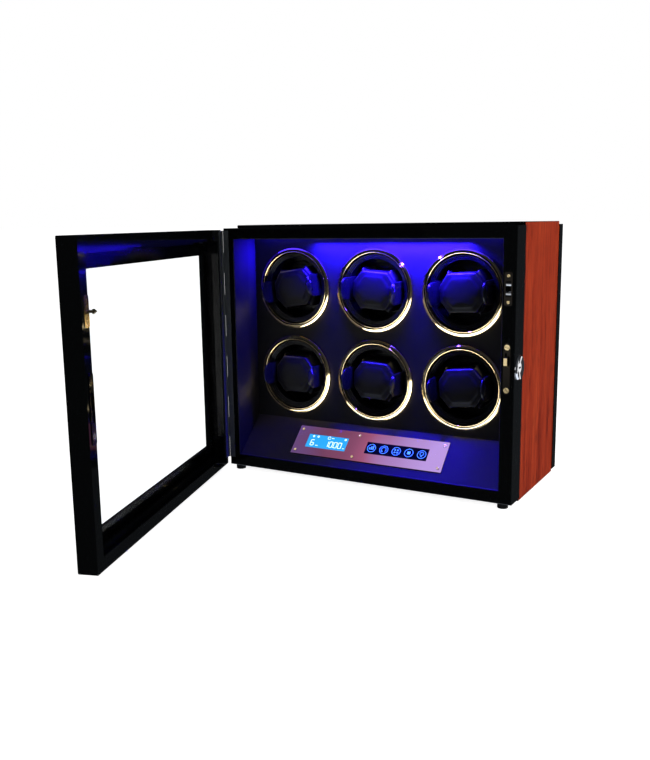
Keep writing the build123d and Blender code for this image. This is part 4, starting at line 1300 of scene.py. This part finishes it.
@dataclass
class ScrewHeads:
    """Domed screw heads with a slot, in place of a node's plain screws: black on the hinge, else brass."""

    node: str
    body: str
    slot_share: float = 0.22
    edge_share: float = 0.30
    floor_share: float = 0.45
    floor_edge_share: float = 0.1
    floor_radius_share: float = 0.96
    first_turn: float = 35.0
    next_turn: float = 40.0
    steps: int = 18

    def build(self) -> None:
        """Put a slotted head on every screw of the node."""
        parts: list[Form] = []
        for number, points in enumerate(islands(self.node)):
            parts += self.head(points, math.radians(self.first_turn + self.next_turn * (number % 3)))
        piece = make_object(f"{self.node}_slotted", *joined(parts), BRASS.material())
        middles = table(piece.data.polygons, "center")
        refinish(piece.data, middles[:, 0] < corners("hinge_frame_leaves")[1].x, BLACK_NICKEL)
        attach(piece, self.body)
        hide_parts(self.node)

    def head(self, points: np.ndarray, turn: float) -> list[Form]:
        """Two half-moons with a slot between them on a thin disc.

        Args:
            points: the plain screw's vertices.
            turn: the slot's angle, in radians.

        Returns:
            The pieces of one head.
        """
        centre = points.mean(0)
        axis = np.linalg.svd(points - centre, full_matrices=False)[2][0]
        along = (points - centre) @ axis
        away = np.linalg.norm(points - centre - along[:, None] * axis, axis=1)
        radius = float(away.max())
        rim = along[away > 0.95 * radius]
        if rim.mean() < (along.max() + along.min()) / 2:
            axis, along, rim = -axis, -along, -rim
        height = float(rim.max() - rim.min())
        across = np.cross(axis, [1.0, 0.0, 0.0] if abs(axis[0]) < 0.7 else [0.0, 0.0, 1.0])
        across /= np.linalg.norm(across)
        u = across * math.cos(turn) + np.cross(axis, across) * math.sin(turn)
        seat = centre + axis * rim.min()
        place = framed(u, np.cross(axis, u), axis, seat)
        opening = math.asin(self.slot_share / 2)
        arc = np.linspace(opening, math.pi - opening, self.steps)
        moon = radius * np.column_stack([np.cos(arc), np.sin(arc)])
        ring = np.linspace(0, 2 * math.pi, 2 * self.steps, endpoint=False)
        disc = self.floor_radius_share * radius * np.column_stack([np.cos(ring), np.sin(ring)])
        edge = height * self.edge_share
        return [
            plate(disc, height * self.floor_share, height * self.floor_edge_share, place, 1),
            plate(moon, height, edge, place, 3),
            plate(-moon, height, edge, place, 3),
        ]


# ---- light, stage and camera
@dataclass(frozen=True)
class Softbox:
    """An area lamp aimed at a point, which may light only some pieces, or skip some."""

    name: str
    place: Sequence[float]
    target: Sequence[float]
    size: Pair
    power: float
    colour: str = WHITE
    mirrored: bool = False
    diffuse: bool = True
    only: tuple[str, ...] = ()
    skips: tuple[str, ...] = ()
    spread: float = 180.0

    def group(self, kind: str, pieces: Iterable[str]) -> bpy.types.Collection:
        """A collection of pieces for light linking.

        Args:
            kind: what the collection is for.
            pieces: the names of its objects.

        Returns:
            The collection.
        """
        group = bpy.data.collections.new(f"{self.name}_{kind}")
        for piece in pieces:
            group.objects.link(bpy.data.objects[piece])
        return group

    def build(self) -> None:
        """Hang the lamp."""
        lamp = bpy.data.lights.new(self.name, "AREA")
        lamp.shape = "RECTANGLE"
        lamp.size, lamp.size_y = self.size
        lamp.energy = self.power
        lamp.color = linear(self.colour)[:3]
        lamp.spread = math.radians(self.spread)
        holder = bpy.data.objects.new(self.name, lamp)
        away = Vector(self.place) - Vector(self.target)
        turn = away.to_track_quat("Z", "Y").to_matrix().to_4x4()
        holder.matrix_world = Matrix.Translation(self.place) @ turn
        bpy.context.scene.collection.objects.link(holder)
        holder.visible_camera = False
        holder.visible_transmission = False
        holder.visible_glossy = self.mirrored
        holder.visible_diffuse = self.diffuse
        if self.only or self.skips:
            receivers = self.group("receivers", self.only + self.skips)
            for entry in receivers.collection_objects:
                entry.light_linking.link_state = "EXCLUDE" if self.skips else "INCLUDE"
            holder.light_linking.receiver_collection = receivers
        if self.only and not self.diffuse:
            holder.light_linking.blocker_collection = self.group("blockers", self.only)


def card(name: str, place: Any, target: Any, size: Pair, power: float, only: tuple[str, ...]) -> None:
    """Hang a white card that shows only as a highlight on some pieces."""
    Softbox(name, place, target, size, power, mirrored=True, diffuse=False, only=only).build()


@dataclass
class Studio:
    """Pale floor, soft light, a white surround and the camera, all in metres and degrees."""

    floor_size: float = 60.0
    floor_drop: float = 0.2 * MM
    floor_shine: float = 0.9
    light_level: float = 0.32
    mirror_tint: str = "E8F2FF"
    mirror_fall: Pair = (-0.62, -0.72)
    mirror_below: float = 1.4
    mirror_turn: Pair = (0.1, 0.6)
    mirror_aside: Pair = (0.03, 0.06)
    eye: tuple[float, float, float] = (0.5012, -0.9584, 0.3307)
    azimuth: float = -29.8
    pitch: float = -10.26
    roll: float = -0.8
    lens: float = 48.4
    sensor: float = 36.0
    led_drop: float = 5 * MM
    led_depth: float = 5 * MM
    led_back: float = 2.5 * MM
    rings: ClassVar[tuple[str, ...]] = ("bezel_rings_plated",)
    mirror: ClassVar[tuple[str, ...]] = ("control_plate", "cabinet_screws_slotted")
    lock: ClassVar[tuple[str, ...]] = ("lock_cylinder", "lock_plug")
    hardware: ClassVar[tuple[str, ...]] = (
        *Locks.finishes, "cabinet_screws_slotted", "hinge_frame_leaves"
    )

    def build(self) -> None:
        """Set up stage, surround, lamps and camera."""
        self.floor()
        self.surround()
        self.softboxes()
        self.leds()
        self.lock_cards()
        self.camera()

    def floor(self) -> None:
        """A wide pale floor just under the feet, lit enough for the camera to fade into the surround."""
        level = CAD_BOX[0][2] - self.floor_drop
        square = np.array([(x * self.floor_size, y * self.floor_size, level) for x, y in SQUARE])
        pale = Finish("pale_floor", "F4F4F2", 0.8).material()
        shine = calc(pale.node_tree, "MULTIPLY", self.straight_view(pale.node_tree), self.floor_shine)
        shader = pale.node_tree.nodes["Principled BSDF"]
        feed(shader, {"Emission Color": linear(WHITE), "Emission Strength": shine})
        ground = make_object("floor", square, [[0, 1, 2, 3]], pale, smooth=False)
        ground.visible_glossy = False

    def surround(self) -> None:
        """A world that is white to look at, pale in what it throws, and dark in mirrors except far down."""
        world = bpy.data.worlds.new("studio")
        world.use_nodes = True
        bpy.context.scene.world = world
        tree = world.node_tree
        tree.nodes.clear()
        way = add_node(tree, "TexCoord").outputs["Generated"]
        axes = add_node(tree, "SeparateXYZ", {"Vector": way}).outputs
        below = remap(tree, axes["Z"], (0.0, self.mirror_below), self.mirror_fall)
        aside = remap(tree, axes["X"], self.mirror_aside, self.mirror_turn)
        lights = (
            (self.mirror_tint, calc(tree, "ADD", below, aside)),
            (WHITE, self.light_level),
            (WHITE, 1.0),
        )
        mirrored, lit, seen = (
            add_node(tree, "Background", {"Color": linear(code), "Strength": level}).outputs["Background"]
            for code, level in lights
        )
        ray = add_node(tree, "LightPath")
        thrown = add_node(tree, "MixShader", {0: ray.outputs["Is Diffuse Ray"], 1: mirrored, 2: lit})
        mix = {0: self.straight_view(tree), 1: thrown.outputs["Shader"], 2: seen}
        add_node(tree, "OutputWorld", {"Surface": add_node(tree, "MixShader", mix).outputs["Shader"]})

    @staticmethod
    def straight_view(tree: Tree) -> Socket:
        """What the camera sees itself or through glass, and not in a reflection.

        Args:
            tree: the tree to add the nodes to.

        Returns:
            A socket that is 1 for such rays and 0 for others.
        """
        ray = add_node(tree, "LightPath").outputs
        direct = calc(tree, "MAXIMUM", ray["Is Camera Ray"], ray["Is Transmission Ray"])
        return calc(tree, "MULTIPLY", direct, calc(tree, "LESS_THAN", ray["Glossy Depth"], 0.5))

    def softboxes(self) -> None:
        """Key, fill and side light, and the cards for the rings and the mirror plate."""
        waist = (0, 0, 0.15)
        Softbox("key_softbox", (1.6, -1.6, 1.6), waist, (0.9, 0.9), 4).build()
        Softbox("fill_softbox", (-1.8, -1.4, 1.2), waist, (0.8, 1.2), 1.5).build()
        Softbox("side_softbox", (2.2, 0.6, 0.6), (0.2, 0, 0.15), (0.7, 1.2), 36).build()
        card("table_card", (-0.15, -0.30, 0.012), (-0.13, -0.2, 0.4), (1.3, 0.38), 15.0, self.rings)
        middle = sum(corners("control_plate"), Vector()) / 2
        above = middle + Vector((-40 * MM, -20 * MM, 57 * MM))
        beneath = above - Vector((0, 0, 50 * MM))
        card("plate_card", above, beneath, (0.32, 0.08), 0.085, self.mirror)

    def leds(self) -> None:
        """Blue lamps under the cabinet's ceiling; those that light one piece stand for its share of them."""
        low = corners("led_strip")[0]
        y, z = low.y + self.led_back, low.z - self.led_drop
        dark = ("floor", "side_linings", "console_board", "door_frame", "glass_bead", *self.rings)
        strips = (("strip_left", -0.045, 0.09, 1.7), ("strip_right", 0.062, 0.13, 4.4))
        for name, x, width, power in strips:
            aim, size = (x, y + 40 * MM, z - 100 * MM), (width, self.led_depth)
            beam = {"mirrored": True, "skips": dark, "spread": 130.0}
            Softbox(name, (x, y, z), aim, size, power, LED_BLUE, **beam).build()
        source, target = (strips[1][1], y, z), (0.10, y - 10 * MM, 0)
        wide, wider = (0.15, self.led_depth), (0.20, self.led_depth)
        board = {"only": ("console_board",), "spread": 70.0}
        Softbox("console_glow", source, target, wide, 3.2, LED_BLUE, **board).build()
        Softbox("ring_glint", source, target, wider, 1.0, GLINT_BLUE, mirrored=True, only=self.rings).build()
        left = corners("side_linings")[0].x
        beside, aim = (left + 40 * MM, y, z - 10 * MM), (left, y, 0.26)
        walls = ("side_linings", "front_frame")
        Softbox("lining_glow", beside, aim, (8 * MM, self.led_depth), 1.3, LED_BLUE, only=walls).build()

    def lock_cards(self) -> None:
        """White cards for the lock's rosette, and for the lock, the catch and the screws."""
        rosette = corners("lock_cylinder")[1]
        past = rosette + Vector((0.16, 0.50, -0.05))
        card("rosette_card", past, rosette, (0.07, 0.24), 0.06, self.lock)
        place, catch = (0.03, -0.62, 0.16), (0.19, -0.09, 0.23)
        Softbox("stile_card", place, catch, (0.35, 0.24), 0.24, mirrored=True, only=self.hardware).build()

    def camera(self) -> None:
        """Stand the camera at the photographer's place, measured from the front frame."""
        low, high = corners("front_frame")
        yaw, dip, roll = (math.radians(a) for a in (self.azimuth, self.pitch, self.roll))
        ahead = Vector((math.sin(yaw) * math.cos(dip), math.cos(yaw) * math.cos(dip), math.sin(dip)))
        level = Vector((math.cos(yaw), -math.sin(yaw), 0))
        upright = level.cross(ahead)
        right = level * math.cos(roll) + upright * math.sin(roll)
        up = upright * math.cos(roll) - level * math.sin(roll)
        data = bpy.data.cameras.new("camera")
        data.sensor_fit = "HORIZONTAL"
        data.sensor_width = self.sensor
        data.lens = self.lens
        camera = bpy.data.objects.new("camera", data)
        foot = Vector(((low.x + high.x) / 2, low.y, low.z))
        camera.matrix_world = framed(right, up, -ahead, foot + Vector(self.eye))
        bpy.context.scene.collection.objects.link(camera)
        bpy.context.scene.camera = camera


def main() -> None:
    """Build and dress the whole box, its light and its stage."""
    logging.basicConfig(level=logging.INFO, format="%(name)s: %(message)s")
    Cabinet().build()
    BezelRings().build()
    for number in STATIONS:
        Drum(number).build()
        WatchHolder(number).build()
    WatchCushion().build()
    ConsoleControls().build()
    Door().build()
    Locks().build()
    ScrewHeads("cabinet_screws", "cabinet").build()
    ScrewHeads("door_screws", "door").build()
    Studio().build()
    view = bpy.context.scene.view_settings
    view.view_transform = "Standard"


if __name__ == "__main__":
    main()
